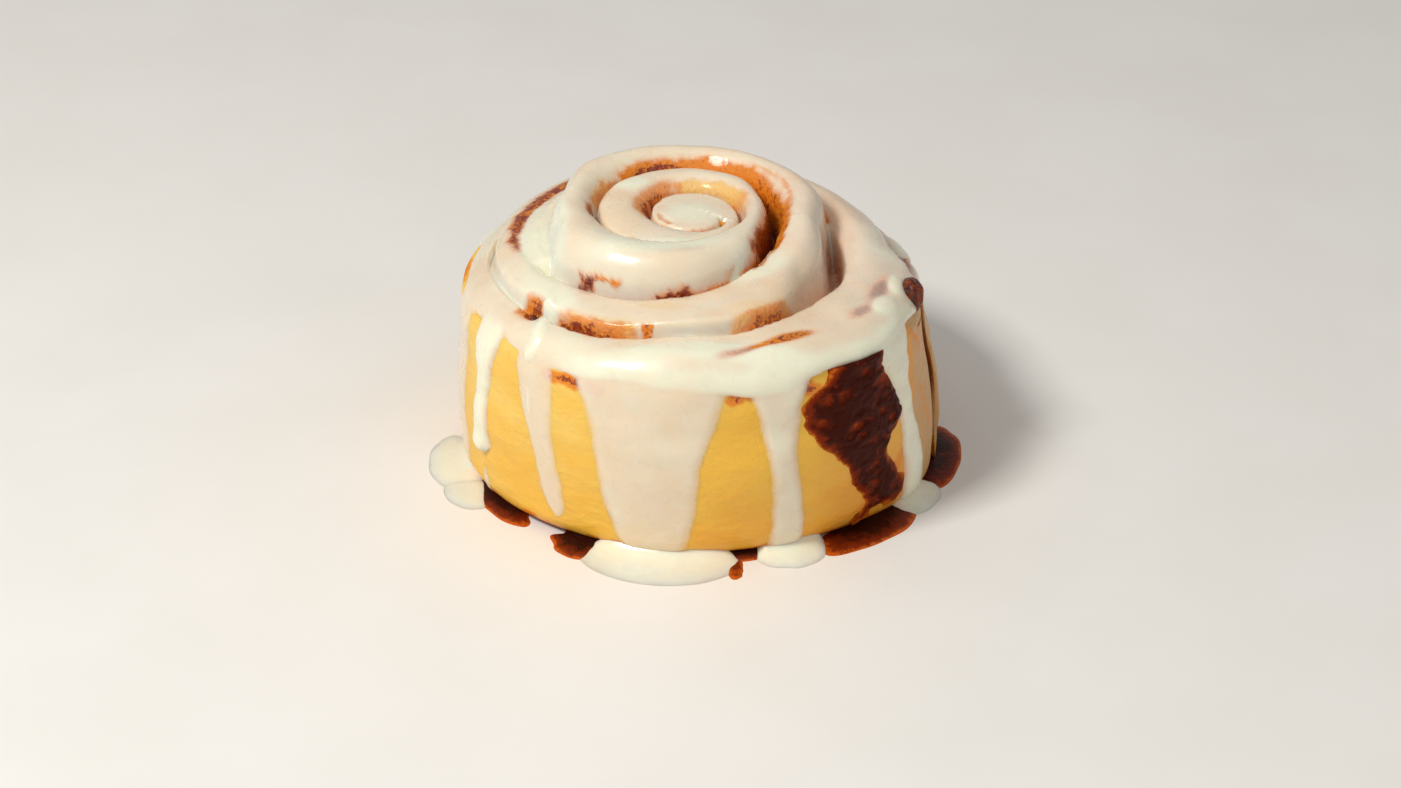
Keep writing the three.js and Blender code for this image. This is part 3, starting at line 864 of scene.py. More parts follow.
@dataclass(frozen=True)
class SyrupFinish:
    """Baked syrup: dark and granular where it is deep, orange at its rim."""

    rim: tuple[float, ...] = shade(200, 92, 20)
    red: tuple[float, ...] = shade(118, 38, 6)
    deep: tuple[float, ...] = shade(48, 12, 4)

    def make(self) -> bpy.types.Material:
        """Builds the material."""
        n = Nodes("baked syrup")
        grain = n.math("SUBTRACT", n.noise(1.6, 4.0, rough=0.7), 0.5)
        film = n.math("ADD", n.value("film"), n.math("MULTIPLY", grain, 0.9))
        colour = n.mix(n.spread(film, 0.05, 0.4), self.rim, self.red)
        n.wire(n.mix(n.spread(film, 0.4, 0.85), colour, self.deep), n.shader.inputs["Base Color"])
        n.set(Roughness=0.34, Coat_Weight=0.1, Coat_Roughness=0.05, Specular_IOR_Level=0.1)
        n.wire(n.bump(n.noise(1.0, 4.0, rough=0.7), 0.4), n.shader.inputs["Normal"])
        return n.material


# ---- Dough and filling ----


@dataclass
class Dough:
    """The coiled strip: its cross-section carried along the spiral.

    The crest keeps under_icing below the icing's bed, except low on the shoulder, where the bed is raised
    by release times the fourth power of the way over.
    """

    coil: Coil
    relief: Relief
    step: float = 0.9
    core_lap: float = 6.0
    inner_points: int = 7
    crest_points: int = 26
    wall_points: int = 44
    under_icing: float = 0.3
    release: float = 60.0

    def turned_angles(self) -> tuple[Array, Array]:
        """Turned angles of the sections, a step apart along the strip, and which are core."""
        fine = np.linspace(0.0, self.coil.strip_end, 6000)
        step = np.radians(np.diff(fine)) * np.maximum(self.coil.slot_radius(fine)[1:], 9.0)
        length = np.concatenate([[0.0], np.cumsum(step)])
        even = np.interp(np.arange(0.0, length[-1], self.step), length, fine)
        core_end = TURN + self.core_lap
        core = even[even < core_end]
        coil = even[even >= core_end]
        turned = np.concatenate([core, [core_end, core_end + 0.01], coil, [self.coil.strip_end]])
        return turned, (turned <= core_end).astype(float)

    def sections(self) -> tuple[Array, dict[str, Array]]:
        """Points of every section, and how stained and how low each is.

        The section runs up the inner face, over the crest, down the outer face and back along the flat
        underside. The crest is crest - crease * |off| ** power. On the outer turn its far half is the
        quarter oval (run * cos, rise * sin) that rounds over into the wall, and the wall's foot is an
        oval quarter too.

        Returns:
            Points shaped (section, point, 3), and the attributes.
        """
        coil = self.coil
        turned, core = self.turned_angles()
        inner, outer, top = (v[:, None] for v in coil.edges(turned, core))
        crest = coil.crest.at(turned)[:, None]
        wall_share = coil.as_wall(turned)[:, None]
        t = turned[:, None]
        core = core[:, None]
        rise = np.linspace(0.0, 1.0, self.inner_points)[None, :-1] ** 0.7
        inner_r = inner + 0 * rise
        edge_z = crest - np.where(core > 0, 0.0, coil.crease)
        inner_z = 0.3 + (edge_z - 0.3) * rise
        across = (1 - np.cos(np.linspace(0, np.pi, self.crest_points)))[None, :] / 2
        near = across < 0.5
        off = np.abs(2 * across - 1)
        near_r = blend(inner, top, 2 * across)
        far_r = blend(top, outer, 2 * across - 1)
        angle = np.pi / 2 * np.clip(2 - 2 * across, 0, 1)
        oval_r = top + (outer - top) * np.cos(angle)
        oval_z = coil.shoulder_z + (crest - coil.shoulder_z) * np.sin(angle)
        drop_z = crest - coil.crease * off**coil.power
        crest_r = np.where(near, near_r, blend(far_r, oval_r, wall_share))
        crest_z = np.where(near, np.where(core > 0, crest, drop_z), blend(drop_z, oval_z, wall_share))
        down = np.linspace(0.0, 1.0, self.wall_points)[None, 1:]
        wall_z = crest_z[:, -1:] * (1 - down)
        foot = np.minimum(coil.foot * wall_share, 0.7 * (outer - inner))
        low = np.clip(1 - wall_z / coil.foot, 0, 1)
        wall_r = outer - foot * (1 - np.sqrt(1 - low**2))
        flat = np.linspace(1.0, 0.0, 5)[None, 1:]
        flat_r = inner + (outer - foot - inner) * flat
        radius = np.hstack([inner_r, crest_r, wall_r, flat_r])
        z = np.hstack([inner_z, crest_z, wall_z, 0 * flat_r])
        points = coil.point(t, radius, z)
        plan = coil.inward(points * [1, 1, 0])
        bed = coil.cover(plan[..., 0], plan[..., 1], 0.3) + self.relief.top(plan)
        bed = coil.roof(points, bed) - self.under_icing
        outside = np.hstack([0 * inner_r, 0 * crest_r, 1 + 0 * wall_r, 0 * flat_r]) * wall_share
        turning = np.where(near, 0, 1 - np.sin(angle)) * wall_share
        shoulder = np.hstack([0 * inner_r, turning, 0 * wall_r, 0 * flat_r])
        up = np.hstack([0 * inner_r, 1 + 0 * crest_r, 0 * wall_r, 0 * flat_r])
        bed = bed + self.release * shoulder**4
        out_way = points * [1, 1, 0] / np.maximum(np.linalg.norm(points[..., :2], axis=-1), 1e-6)[..., None]
        points = points + out_way * ((outside + shoulder) * self.relief.wall(points))[..., None]
        points[..., 2] += up * (1 - shoulder) * self.relief.top(points * [1, 1, 0])
        points[..., 2] = np.where(up > 0, np.minimum(points[..., 2], bed), points[..., 2]).clip(0.0)
        return Settle().apply(points), self.marks(points, outside + shoulder)

    def marks(self, points: Array, outside: Array) -> dict[str, Array]:
        """Stain near the slots, short of the wall, and on the wall with painted shade along its foot, and
        how brown a point is, which on the right side is partly painted shade.

        Args:
            points: the section points.
            outside: 1 on the outer wall.

        Returns:
            The attributes stain and low.
        """
        outside = np.clip(outside, 0, 1)
        gap = self.coil.slot_distance(points[..., 0], points[..., 1])
        inside = np.exp(-((gap / 2.2) ** 2)) * (1 - outside) * 0.8
        inside *= smooth(48.6, 46.0, np.hypot(points[..., 0], points[..., 1]))
        return {"stain": np.maximum(inside, outside * wall_stain_and_foot_shade(points)), "low": browning_and_shade(points)}

    def build(self) -> bpy.types.Object:
        """Makes the dough, dresses it and puts it on the frame."""
        points, marks = self.sections()
        dough = loft_object("dough_strip", points[:, ::-1], {k: v[:, ::-1] for k, v in marks.items()})
        dough.data.materials.append(DoughFinish().make())
        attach(dough, "root")
        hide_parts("dough")
        return dough


@dataclass(frozen=True)
class Lump:
    """Lump of filling: turned angle, distance out from the slot line, half length, half width and rise."""

    turned: float
    off: float
    long: float
    wide: float
    rise: float


LUMPS = (
    Lump(62, 0.2, 1.3, 0.8, 0.2),
    Lump(203, 0.8, 1.0, 0.5, 0.1),
    Lump(525, 0.7, 1.7, 0.9, 0.3),
    Lump(596, 0.5, 2.0, 1.0, 0.3),
    Lump(605, 0.6, 1.6, 0.8, 0.2),
    Lump(1174, 1.0, 1.4, 0.6, 0.1),
    Lump(1181, 1.3, 1.5, 0.9, 0.4),
    Lump(1188, 1.3, 1.4, 0.7, 0.2),
    Lump(1198, 1.8, 1.3, 0.8, 0.2),
)


@dataclass
class Filling:
    """Ribbon of cinnamon paste in the slot, with lumps that stand out of the icing."""

    coil: Coil
    relief: Relief
    step: float = 0.6
    start: float = 22.0
    end: float = 1414.0
    floor: float = 1.0
    half: float = 0.6
    sink: float = 0.7
    icing: float = 0.9

    def build(self) -> list[bpy.types.Object]:
        """Makes the ribbon and the lump at its end.

        Its section has a round top. Between the lumps that lies sink under the skin of the coil, and each
        lump is a bell exp(-(d / long) ** 4) of the distance d along the slot, which lifts, shifts and
        widens the ribbon.
        """
        coil = self.coil
        fine = np.linspace(self.start, self.end, 6000)
        length = np.concatenate([[0.0], np.cumsum(np.radians(np.diff(fine)) * coil.slot_radius(fine)[1:])])
        turned = np.interp(np.arange(0.0, length[-1], self.step), length, fine)
        line = coil.slot_radius(turned)
        grain = Noise(21)
        jitter = grain.layered(coil.point(turned, line, 0.0), 2.4, 3)
        wide = self.half * (1 + 0.3 * jitter)
        lift = 0.2 * jitter - self.sink - 0.8 * coil.pocket_gap(turned)
        for lump in LUMPS:
            along = np.radians(turned - lump.turned) * line
            bell = np.exp(-((along / lump.long) ** 4))
            lift += bell * (self.sink + self.icing + lump.rise + 0.3 * jitter)
            wide = blend(wide, lump.wide * (1 + 0.25 * jitter), bell)
            line = line + lump.off * bell
        sides = [coil.point(turned, line + beside, 0.0) for beside in (-0.9, 0.0, 0.9)]
        covers = [coil.cover(side[:, 0], side[:, 1], 0.6) + self.relief.top(side) for side in sides]
        skin = np.min(covers, axis=0)
        top = np.where(turned > coil.slot.rows[-1][0], np.minimum(skin + lift, 49.0), skin + lift)
        angle = np.linspace(0, np.pi, 9)[None, :]
        wall = coil.wall_from_middle(coil.start - turned)[:, None]
        root = np.minimum(coil.slot_radius(turned)[:, None], wall - 1.2)
        arch = line[:, None] + wide[:, None] * np.cos(angle)
        r = np.hstack([arch, root - self.half, root - self.half, root + self.half, root + self.half])
        cap = top[:, None] - 1.3 * wide[:, None] * (1 - np.sin(angle))
        low, floor = top[:, None] - 3.0, np.full((len(turned), 1), self.floor)
        z = np.hstack([cap, low, floor, floor, low])
        ribbon = loft_object("cinnamon_ribbon", Settle().apply(coil.point(turned[:, None], r, z)), {})
        finish = CinnamonFinish().make()
        pieces = [ribbon, self.end_lump()]
        for piece in pieces:
            piece.data.materials.append(finish)
            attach(piece, "root")
            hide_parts("cinnamon_filling")
        return pieces

    def end_lump(self) -> bpy.types.Object:
        """Lump where the ribbon comes out on the right shoulder: a sphere's points times radii and noise."""
        up = np.linspace(-1.5, 1.5, 30)[:, None]
        around = np.linspace(0, 2 * np.pi, 48, endpoint=False)[None, :]
        unit = polar(np.degrees(around), np.cos(up), np.sin(up))
        swell = 1 + 0.16 * Noise(23).layered(unit * 4, 3.0, 2)
        points = polar(np.array(-17.5), np.array(48.0), 47.2) + unit * [2.7, 3.4, 3.4] * swell[..., None]
        return loft_object("cinnamon_end_lump", Settle().apply(points), {})


# ---- Icing ----


class Flow(Enum):
    """How icing lies on the wall: a thin sheet that fades out sideways, or a full rounded run."""

    SHEET = "sheet"
    RUN = "run"


@dataclass(frozen=True)
class Run:
    """Icing that ran down the wall: its middle and half width at heights, and where it ends.

    A run's thickness is thick times the quarter circle of the distance in from its edge. A sheet's rises
    smoothly over fade millimetres. A bead is the drop that hangs at the end.
    """

    middle: Rows
    half: Rows
    end: float
    thick: float
    flow: Flow = Flow.RUN
    bead: float = 0.0
    fade: float = 1.6

    def thickness(self, azimuth: Array, z: Array, radius: float, wander: Array) -> Array:
        """Thickness over the wall, below nothing where the run isn't.

        Args:
            azimuth: azimuths about the origin.
            z: heights.
            radius: the wall's radius.
            wander: sideways shift of the edges, in millimetres.

        Returns:
            Thickness in millimetres.
        """
        side = np.radians(wrap(azimuth - Track(self.middle).at(z))) * radius
        half = Track(self.half).at(z)
        tip = z - self.end
        inside = half * round_edge(tip, 1.4 * half) + wander - np.abs(side)
        if self.flow is Flow.SHEET:
            body = self.thick * smooth(0.0, self.fade, inside)
        else:
            body = self.thick * round_edge(inside, np.maximum(0.8 * half, 0.8))
        drop = self.bead * np.exp(-(((tip - 0.8 * half) / (0.9 * half)) ** 2))
        body = body + drop * round_edge(inside, 0.8 * half)
        return np.where(inside > 0, body, np.maximum(inside, HIDDEN))


@dataclass(frozen=True)
class Patch:
    """Oval place on the top, in plan: how much film it adds, and how stained the dough is under it."""

    x: float
    y: float
    half: tuple[float, float]
    turn: float
    add: float
    stain: float = 0.0

    def share(self, x: Array, y: Array) -> Array:
        """exp(-d**4) of the oval distance d from the middle."""
        c, s = math.cos(math.radians(self.turn)), math.sin(math.radians(self.turn))
        u = ((x - self.x) * c + (y - self.y) * s) / self.half[0]
        v = ((y - self.y) * c - (x - self.x) * s) / self.half[1]
        return np.exp(-((u * u + v * v) ** 2))


@dataclass(frozen=True)
class Bare:
    """Stretch beside the slot that the icing left bare.

    It runs from start to end in turned angle, off out from the slot line and half wide each way. Its
    stain is from 0, golden, to 1, near black. film is the share of icing left on it, and deep is how much
    lower its bed is.
    """

    start: float
    end: float
    off: float
    half: float
    stain: float
    film: float = 0.0
    deep: float = 0.35

    def share(self, coil: Coil, x: Array, y: Array, ragged: Array) -> Array:
        """1 inside and 0 outside the ragged outline |s| ** 4 + w ** 2 = 1, s along it and w across."""
        turned, off = coil.unroll(x, y, (self.start + self.end) / 2)
        along = (turned - (self.start + self.end) / 2) / ((self.end - self.start) / 2)
        across = (off - self.off) / self.half
        inside = self.half * (1 - np.sqrt(along**4 + across**2)) + 0.6 * min(0.8, self.half) * ragged
        return smooth(-0.4 * self.half, 0.4 * self.half, inside)


BARES = (
    Bare(24, 136, -0.1, 0.7, 0.42, 0.1),
    Bare(46, 78, 0.1, 0.8, 0.68, 0.05, 0.3),
    Bare(112, 160, -2.0, 0.5, 0.2, 0.2),
    Bare(142, 236, 1.4, 2.0, 0.36, 0.08),
    Bare(156, 184, 0.8, 0.8, 0.66),
    Bare(192, 214, 0.5, 0.8, 0.62),
    Bare(226, 340, 1.3, 1.2, 0.06, 0.12, 0.1),
    Bare(262, 290, -0.3, 0.6, 0.55),
    Bare(290, 350, -0.2, 0.5, 0.36, 0.12),
    Bare(404, 478, -0.8, 0.7, 0.4, 0.1, 0.1),
    Bare(422, 436, -0.9, 1.0, 0.76, 0.0, 0.1),
    Bare(510, 530, 0.8, 1.2, 0.74),
    Bare(534, 562, 0.9, 1.0, 0.2, 0.06),
    Bare(556, 672, 1.2, 1.3, 0.36),
    Bare(578, 604, 0.6, 0.9, 0.74),
    Bare(648, 758, -0.2, 1.8, 0.46, 0.0, 0.7),
    Bare(672, 752, -1.6, 1.3, 0.74, 0.0, 0.1),
    Bare(690, 758, 1.7, 0.8, 0.4),
    Bare(646, 706, 2.9, 0.4, 0.26, 0.25, 0.0),
    Bare(744, 768, -0.1, 0.35, 0.4),
    Bare(769, 808, 0.0, 0.6, 0.42, 0.03),
    Bare(790, 805, 0.0, 0.6, 0.74),
    Bare(800, 824, 0.6, 0.35, 0.45, 0.1),
    Bare(820, 833, -0.9, 0.3, 0.4),
    Bare(829.5, 838, -0.5, 0.6, 0.8),
    Bare(828, 844, 0.6, 0.35, 0.74),
    Bare(868, 954, 3.2, 1.8, 0.64),
    Bare(1026, 1044, 1.5, 1.0, 0.42),
    # partly painted shade: this stretch darkens the deep right-hand pocket, beside the filling's stain there
    Bare(1050, 1104, -1.2, 1.7, 0.6, 0.2, 0.2),
    Bare(1112, 1139, -0.8, 1.1, 0.24, 0.1),
    Bare(1112, 1132, -0.5, 0.5, 0.56, 0.08),
    Bare(1162, 1165.5, -0.6, 0.7, 0.5),
    Bare(1167, 1191.5, -0.2, 1.8, 0.24, 0.04),
    Bare(1172, 1191, 0.1, 0.9, 0.68),
    Bare(1197, 1206, 0.6, 2.4, 0.42),
    Bare(1197, 1202, 0.8, 1.5, 0.72),
    Bare(1412, 1436, 0.0, 1.9, 0.8),
)

RUNS = (
    Run(((0, -170), (44, -167)), ((0, 4.6), (20, 4.4), (44, 6.5)), -2.0, 0.4, Flow.SHEET),
    Run(((8, -153.5), (44, -149.5)), ((8, 3.2), (20, 2.6), (36, 2.8), (44, 5.0)), 12.5, 1.25, Flow.RUN, 0.8),
    Run(((5, -128), (44, -132)), ((5, 2.8), (15, 3.2), (30, 4.0), (44, 5.4)), 5.0, 0.36, Flow.SHEET),
    Run(((40, -133), (50, -134)), ((40, 1.5), (50, 1.7)), 42.6, 1.0, Flow.RUN, 0.5),
    Run(
        ((0, -102), (25, -102.5), (36, -101.5), (44, -102)),
        ((0, 9.4), (10, 9.6), (25, 11.6), (36, 13.8), (44, 16.5)),
        -2.0, 0.42, Flow.SHEET, 0.0, 2.4,
    ),
    Run(
        ((0, -68), (10, -68.5), (22, -70.5), (44, -72.5)),
        ((0, 4.2), (10, 3.8), (22, 3.4), (32, 4.4), (40, 5.6), (44, 8)), -2.0, 0.55, Flow.SHEET, 0.0, 2.0,
    ),
    Run(
        ((0, -26.5), (15, -29.5), (30, -34.5), (44, -38)),
        ((0, 3.8), (12, 3.4), (30, 3.2), (38, 4.6), (44, 7.5)), -2.0, 0.9,
    ),
    Run(((15, 20), (44, 22)), ((15, 2.6), (30, 2.6), (44, 5.5)), 16.0, 1.2, Flow.RUN, 0.7),
    Run(((0, 47), (44, 44)), ((0, 4.6), (20, 5.2), (44, 9.5)), -2.0, 0.45, Flow.SHEET),
    Run(((12, 82), (44, 83)), ((12, 2.9), (30, 2.6), (44, 5.5)), 12.5, 1.2, Flow.RUN, 0.8),
    Run(((0, 121), (44, 118)), ((0, 5.2), (20, 6.2), (44, 11)), -2.0, 0.45, Flow.SHEET),
    Run(((20, 157), (44, 156)), ((20, 2.7), (32, 2.7), (44, 5.5)), 20.5, 1.1, Flow.RUN, 0.7),
)

LIP = Track(
    (
        (-175, 44), (-150, 45), (-135, 43.4), (-119, 42.6), (-101, 43.0), (-84.5, 41.4), (-73, 41.0),
        (-60, 43.4), (-45, 43.4), (-30, 44.5), (-8, 43.5), (15, 44), (40, 42.5), (62, 44),
        (85, 42.4), (105, 44), (125, 43), (145, 44.6), (160, 43.2), (170, 45.8), (178, 46.2),
    ),
    TURN,
)
BAND = Track(
    (
        (-175, 0.6), (-150, 0.8), (-135, 0.6), (-119, 0.9), (-101, 0.95), (-84.5, 1), (-60, 1.1), (-40, 1.6),
        (-15, 0.8), (20, 1.0), (60, 0.9), (100, 1.1), (140, 0.9),
    ),
    TURN,
)
PATCHES = (
    Patch(37.2, -18.8, (6.4, 2.2), 62, -0.4, 0.85),
    Patch(32.6, -27.4, (4.4, 1.6), 48, -0.38, 0.8),
    Patch(17.0, -38.6, (6.0, 1.6), 27, -0.72, 0.6),
    Patch(8.0, -42.9, (5.4, 1.2), 24, -1.1, 0.62),
    Patch(-31.0, -30.0, (5.6, 1.3), 74, 2.2),
    Patch(38.0, -23.8, (3.6, 2.2), 50, 1.3),
    Patch(42.0, -15.0, (3.6, 1.8), 75, 1.3),
    Patch(-32.5, -2.0, (4.6, 14.0), 8, 1.4),
    Patch(-2.1, 0.4, (5.5, 4.4), 0, 0.5),
    Patch(-8.0, -16.0, (10.5, 4.0), 8, 0.6),
    Patch(12.0, -18.0, (7.0, 3.4), 35, 0.5),
    Patch(-14.5, 12.0, (3.4, 6.0), 40, 0.6),
    Patch(8.0, -32.5, (6.5, 1.8), 20, -0.25),
    Patch(-8.0, -31.0, (6.0, 1.4), -10, -0.25),
    Patch(-30.0, -24.0, (4.0, 8.0), 35, 0.6),
    Patch(0.0, -43.5, (22.0, 2.6), 0, 0.7),
)


@dataclass(frozen=True)
class Stain:
    """Oval stain on the wall: azimuth, height, half length and half width, turn from level, amount."""

    azimuth: float
    z: float
    long: float
    wide: float
    turn: float
    amount: float


WALL_STAINS = (
    Stain(-122, 41.6, 5.0, 1.2, 0, 0.9),
    Stain(-82.3, 40.6, 1.6, 1.5, 90, 0.7),
    Stain(-73.0, 41.0, 5.2, 0.6, 4, 0.6),
    Stain(-66.0, 41.8, 2.4, 1.5, -30, 0.85),
    Stain(-63.5, 34.0, 4.5, 0.5, 80, 0.4),
    Stain(-36.5, 10.5, 4.6, 2.4, 70, 0.55),
    Stain(-46.0, 6.0, 6.0, 1.2, 8, 0.4),
    Stain(-21.0, 20.0, 9.5, 0.9, -68, 0.6),
    Stain(-21.5, 38.5, 4.4, 1.2, 80, 0.75),
    Stain(-25.5, 40.6, 2.8, 1.0, -42, 0.85),
    Stain(-10.5, 24.0, 19.0, 1.2, 90, 0.85),
    Stain(-108.0, 12.0, 0.5, 0.3, 0, 0.6),
    Stain(175.0, 44.6, 6.0, 3.2, 0, 1.0),
    Stain(172.0, 18.0, 7.0, 1.0, 84, 0.7),
    Stain(100.0, 30.0, 6.0, 1.6, 40, 0.55),
    Stain(64.0, 24.0, 5.0, 2.4, 75, 0.5),
    Stain(25.0, 30.0, 5.0, 1.2, 70, 0.5),
)


def wall_stain_and_foot_shade(points: Array) -> Array:
    """How stained the wall is: the foot's dark line, partly baked-out syrup and partly painted contact
    shade, or the largest exp(-d * d) of the stains, d uneven.
    """
    azimuth = np.degrees(np.arctan2(points[..., 1], points[..., 0]))
    z = points[..., 2]
    ragged = Noise(71)
    uneven = np.maximum(1 + 0.7 * ragged.layered(points, 2.6, 2), 0.4)
    # partly painted shade: this dark line along the wall's foot, where it meets the floor, stands in for
    # contact shade as well as baked-out syrup
    total = 0.85 * smooth(3.2, 0.8, z + 1.1 * ragged.at(points, 4.0))
    for stain in WALL_STAINS:
        c, s = math.cos(math.radians(stain.turn)), math.sin(math.radians(stain.turn))
        across = np.radians(wrap(azimuth - stain.azimuth)) * WALL
        u = (across * c + (z - stain.z) * s) / stain.long
        v = ((z - stain.z) * c - across * s) / stain.wide
        total = np.maximum(total, stain.amount * np.exp(-(u * u + v * v) * uneven))
    return total


def browning_and_shade(points: Array) -> Array:
    """How brown the dough is: more low down and towards the right of the front, then past 1.3 tan, which the
    right side reaches as partly painted shade.
    """
    azimuth = np.degrees(np.arctan2(points[..., 1], points[..., 0]))
    right = smooth(-105.0, -50.0, azimuth) * smooth(60.0, 10.0, azimuth)
    back = 0.6 * smooth(20.0, 60.0, azimuth) * smooth(175.0, 130.0, azimuth)
    # painted shade, in part: this pushes the right side, away from the key light, past 1.3 into tan
    tan = 1.3 * smooth(-36.0, -24.0, azimuth) * smooth(60.0, 10.0, azimuth)
    return 0.12 + 0.34 * smooth(40.0, 4.0, points[..., 2]) + 0.42 * right + 0.5 * back + tan


@dataclass
class Icing:
    """The poured icing: a skin over the top and shoulder that runs down the wall, and its pools."""

    coil: Coil
    relief: Relief
    columns: int = 480
    top_rings: int = 104
    shoulder_rings: int = 20
    wall_rings: int = 64
    film: float = 0.58
    fillet: float = 1.2
    floors: tuple[tuple[float, float, float, float], ...] = (
        (890.0, 49.0, -0.4, 4.6), (1080.0, 40.0, -1.8, 3.4),
    )
    pours: tuple[tuple[float, float, float, float], ...] = (
        (-3.0, -38.0, 8.0, 2.2), (22.0, -31.0, 6.0, 1.6), (4.0, 40.0, 14.0, 1.2),
        (-1.6, -1.0, 8.5, 2.0), (-41.5, -10.0, 11.0, 3.0), (-37.0, -21.0, 8.0, 2.0),
    )

    def base(self) -> tuple[Array, Array, Array, Array]:
        """The surface that the icing lies on, ring by ring.

        Over the top a point is (r, cover(r)) and thickness goes up. Over the shoulder it is the oval
        (crest radius + run * cos, shoulder height + rise * sin), and down the wall it is (wall radius, z).

        Returns:
            Points, outward directions, azimuths, and the share of each point that is wall.
        """
        coil = self.coil
        azimuth = np.linspace(-180, 180, self.columns, endpoint=False)[None, :]
        far = coil.wall_radius(azimuth) - coil.shoulder
        plan = polar(azimuth, self.ring_radii(azimuth, far), 0.0)
        top = plan.copy()
        top[..., 2] = self.top_height(plan)
        angle = np.linspace(np.pi / 2, 0, self.shoulder_rings + 1)[1:, None]
        rise = top[-1:, :, 2] - coil.shoulder_z
        over, up = coil.shoulder * np.cos(angle), rise * np.sin(angle)
        shoulder = polar(azimuth, far + over, coil.shoulder_z + up)
        down = np.linspace(coil.shoulder_z, 0.35, self.wall_rings + 1)[1:, None]
        low = np.clip(1 - down / coil.foot, 0, 1)
        in_foot = coil.foot * (1 - np.sqrt(1 - (0.82 * low) ** 2))
        wall = polar(azimuth, coil.wall_radius(azimuth) - in_foot, down + 0 * azimuth)
        points = np.vstack([top, shoulder, wall])
        tilt = np.vstack([np.full((len(top), 1), np.pi / 2), angle, 0 * down]) + 0 * azimuth
        out = polar(azimuth, np.cos(tilt), np.sin(tilt))
        on_wall = 1 - np.sin(tilt)
        side = out * [1, 1, 0] / np.maximum(np.linalg.norm(out[..., :2], axis=-1), 1e-6)[..., None]
        points = points + side * (on_wall * self.relief.wall(points))[..., None]
        return points, out, azimuth + 0 * tilt, on_wall

    def ring_radii(self, azimuth: Array, far: Array) -> Array:
        """Radii of the rings on the top, set evenly along the surface, so that steep places get more.

        Args:
            azimuth: azimuths of the columns.
            far: radius of the last ring.

        Returns:
            Radii shaped (ring, column).
        """
        fine = np.linspace(0.012, 1.0, 400)[:, None] * far
        rise = np.diff(self.top_height(polar(azimuth, fine, 0.0)), axis=0)
        step = np.hypot(np.diff(fine, axis=0), 0.8 * rise)
        along = np.vstack([0 * far, np.cumsum(step, axis=0)])
        wanted = np.linspace(0.0, 1.0, self.top_rings + 1)[:, None] * along[-1:]
        after = np.clip((along[None] < wanted[:, None]).sum(axis=1), 1, len(fine) - 1)
        near, next_one = (np.take_along_axis(along, row, axis=0) for row in (after - 1, after))
        part = np.clip((wanted - near) / (next_one - near), 0, 1)
        low, high = (np.take_along_axis(fine, row, axis=0) for row in (after - 1, after))
        return blend(low, high, part)

    def top_height(self, plan: Array) -> Array:
        """Height of the dough's top, with its creases part filled, and of the pockets' floors.

        A pour is a place x, y with its reach and its extra fillet. A floor is a turned angle with its level,
        its distance out from the slot line and its half width.
        """
        x, y = plan[..., 0], plan[..., 1]
        softness = self.fillet + 0.4 * Noise(33).at(plan, 9.0)
        for east, north, reach, more in self.pours:
            softness = softness + more * np.exp(-((x - east) ** 2 + (y - north) ** 2) / reach**2)
        height = self.coil.cover(x, y, softness) + self.relief.top(plan)
        for middle, level, beside, half in self.floors:
            turned, off = self.coil.unroll(x, y, middle)
            along = 1 - smooth(30, 52, np.abs(turned - middle))
            across = 1 - smooth(half, half + 2, np.abs(off - beside))
            height = soft_max(np.stack([height, level - 20 * (1 - along * across)]), 0.35)
        return height

    def thickness(self, points: Array, azimuth: Array, on_wall: Array) -> dict[str, Array]:
        """Thickness of the icing, how much of it the eye meets, and how stained the dough beneath is, with
        painted shade along the wall's foot.

        On the top the film is a base amount, plus noise, plus the patches, less the bare stretches, whose
        bed is a little lower. Below the crest the band's rounded lip and the runs take over.

        Args:
            points: base points.
            azimuth: their azimuths.
            on_wall: their share of wall.

        Returns:
            The arrays thick, film and stain.
        """
        x, y, z = (points[..., i] for i in range(3))
        flat = points * [1, 1, 0]
        pooled = self.coil.cover(x, y, 1.6) - self.coil.cover(x, y, 0.3)
        film = self.film + 0.28 * Noise(41).at(flat, 11.0) + 1.2 * pooled
        stain = np.zeros(x.shape)
        for patch in PATCHES:
            share = patch.share(x, y)
            film = film + patch.add * share
            stain = np.maximum(stain, patch.stain * share)
        top = 0.55 + 0.35 * np.clip(film, 0.0, 3.0)
        ragged = Noise(43).layered(points, 2.4, 3)
        for bare in BARES:
            share = bare.share(self.coil, x, y, ragged)
            film = film * (1 - (1 - bare.film) * share)
            top = top - bare.deep * share
            stain = blend(stain, np.maximum(stain, bare.stain), share)
        rough = Noise(51)
        lip = LIP.at(azimuth) + 0.6 * rough.at(points, 6.0)
        band = BAND.at(azimuth) * (1 + 0.15 * rough.at(points, 8.0))
        depth = z - lip
        on_band = np.where(depth > 0, band * round_edge(depth, 2.6), np.maximum(depth, HIDDEN))
        wander = 0.3 * rough.at(points, 3.2) + 0.5 * rough.at(points, 9.0)
        lows = [on_band] + [run.thickness(azimuth, z, self.coil.wall, wander) for run in RUNS]
        low = soft_max(np.stack(lows), 0.08)
        low = np.where(low > 0, low * (1 + 0.14 * Noise(57).at(points, (4.0, 4.0, 6.0))), low)
        share = smooth(0.0, 0.5, on_wall)
        return {
            "thick": np.clip(blend(top, low, share), HIDDEN, 4.0),
            "film": blend(np.maximum(film, 0.0), 1.25 * np.maximum(low, 0.0), share),
            "stain": blend(stain, wall_stain_and_foot_shade(points), smooth(0.2, 0.6, on_wall)),
        }

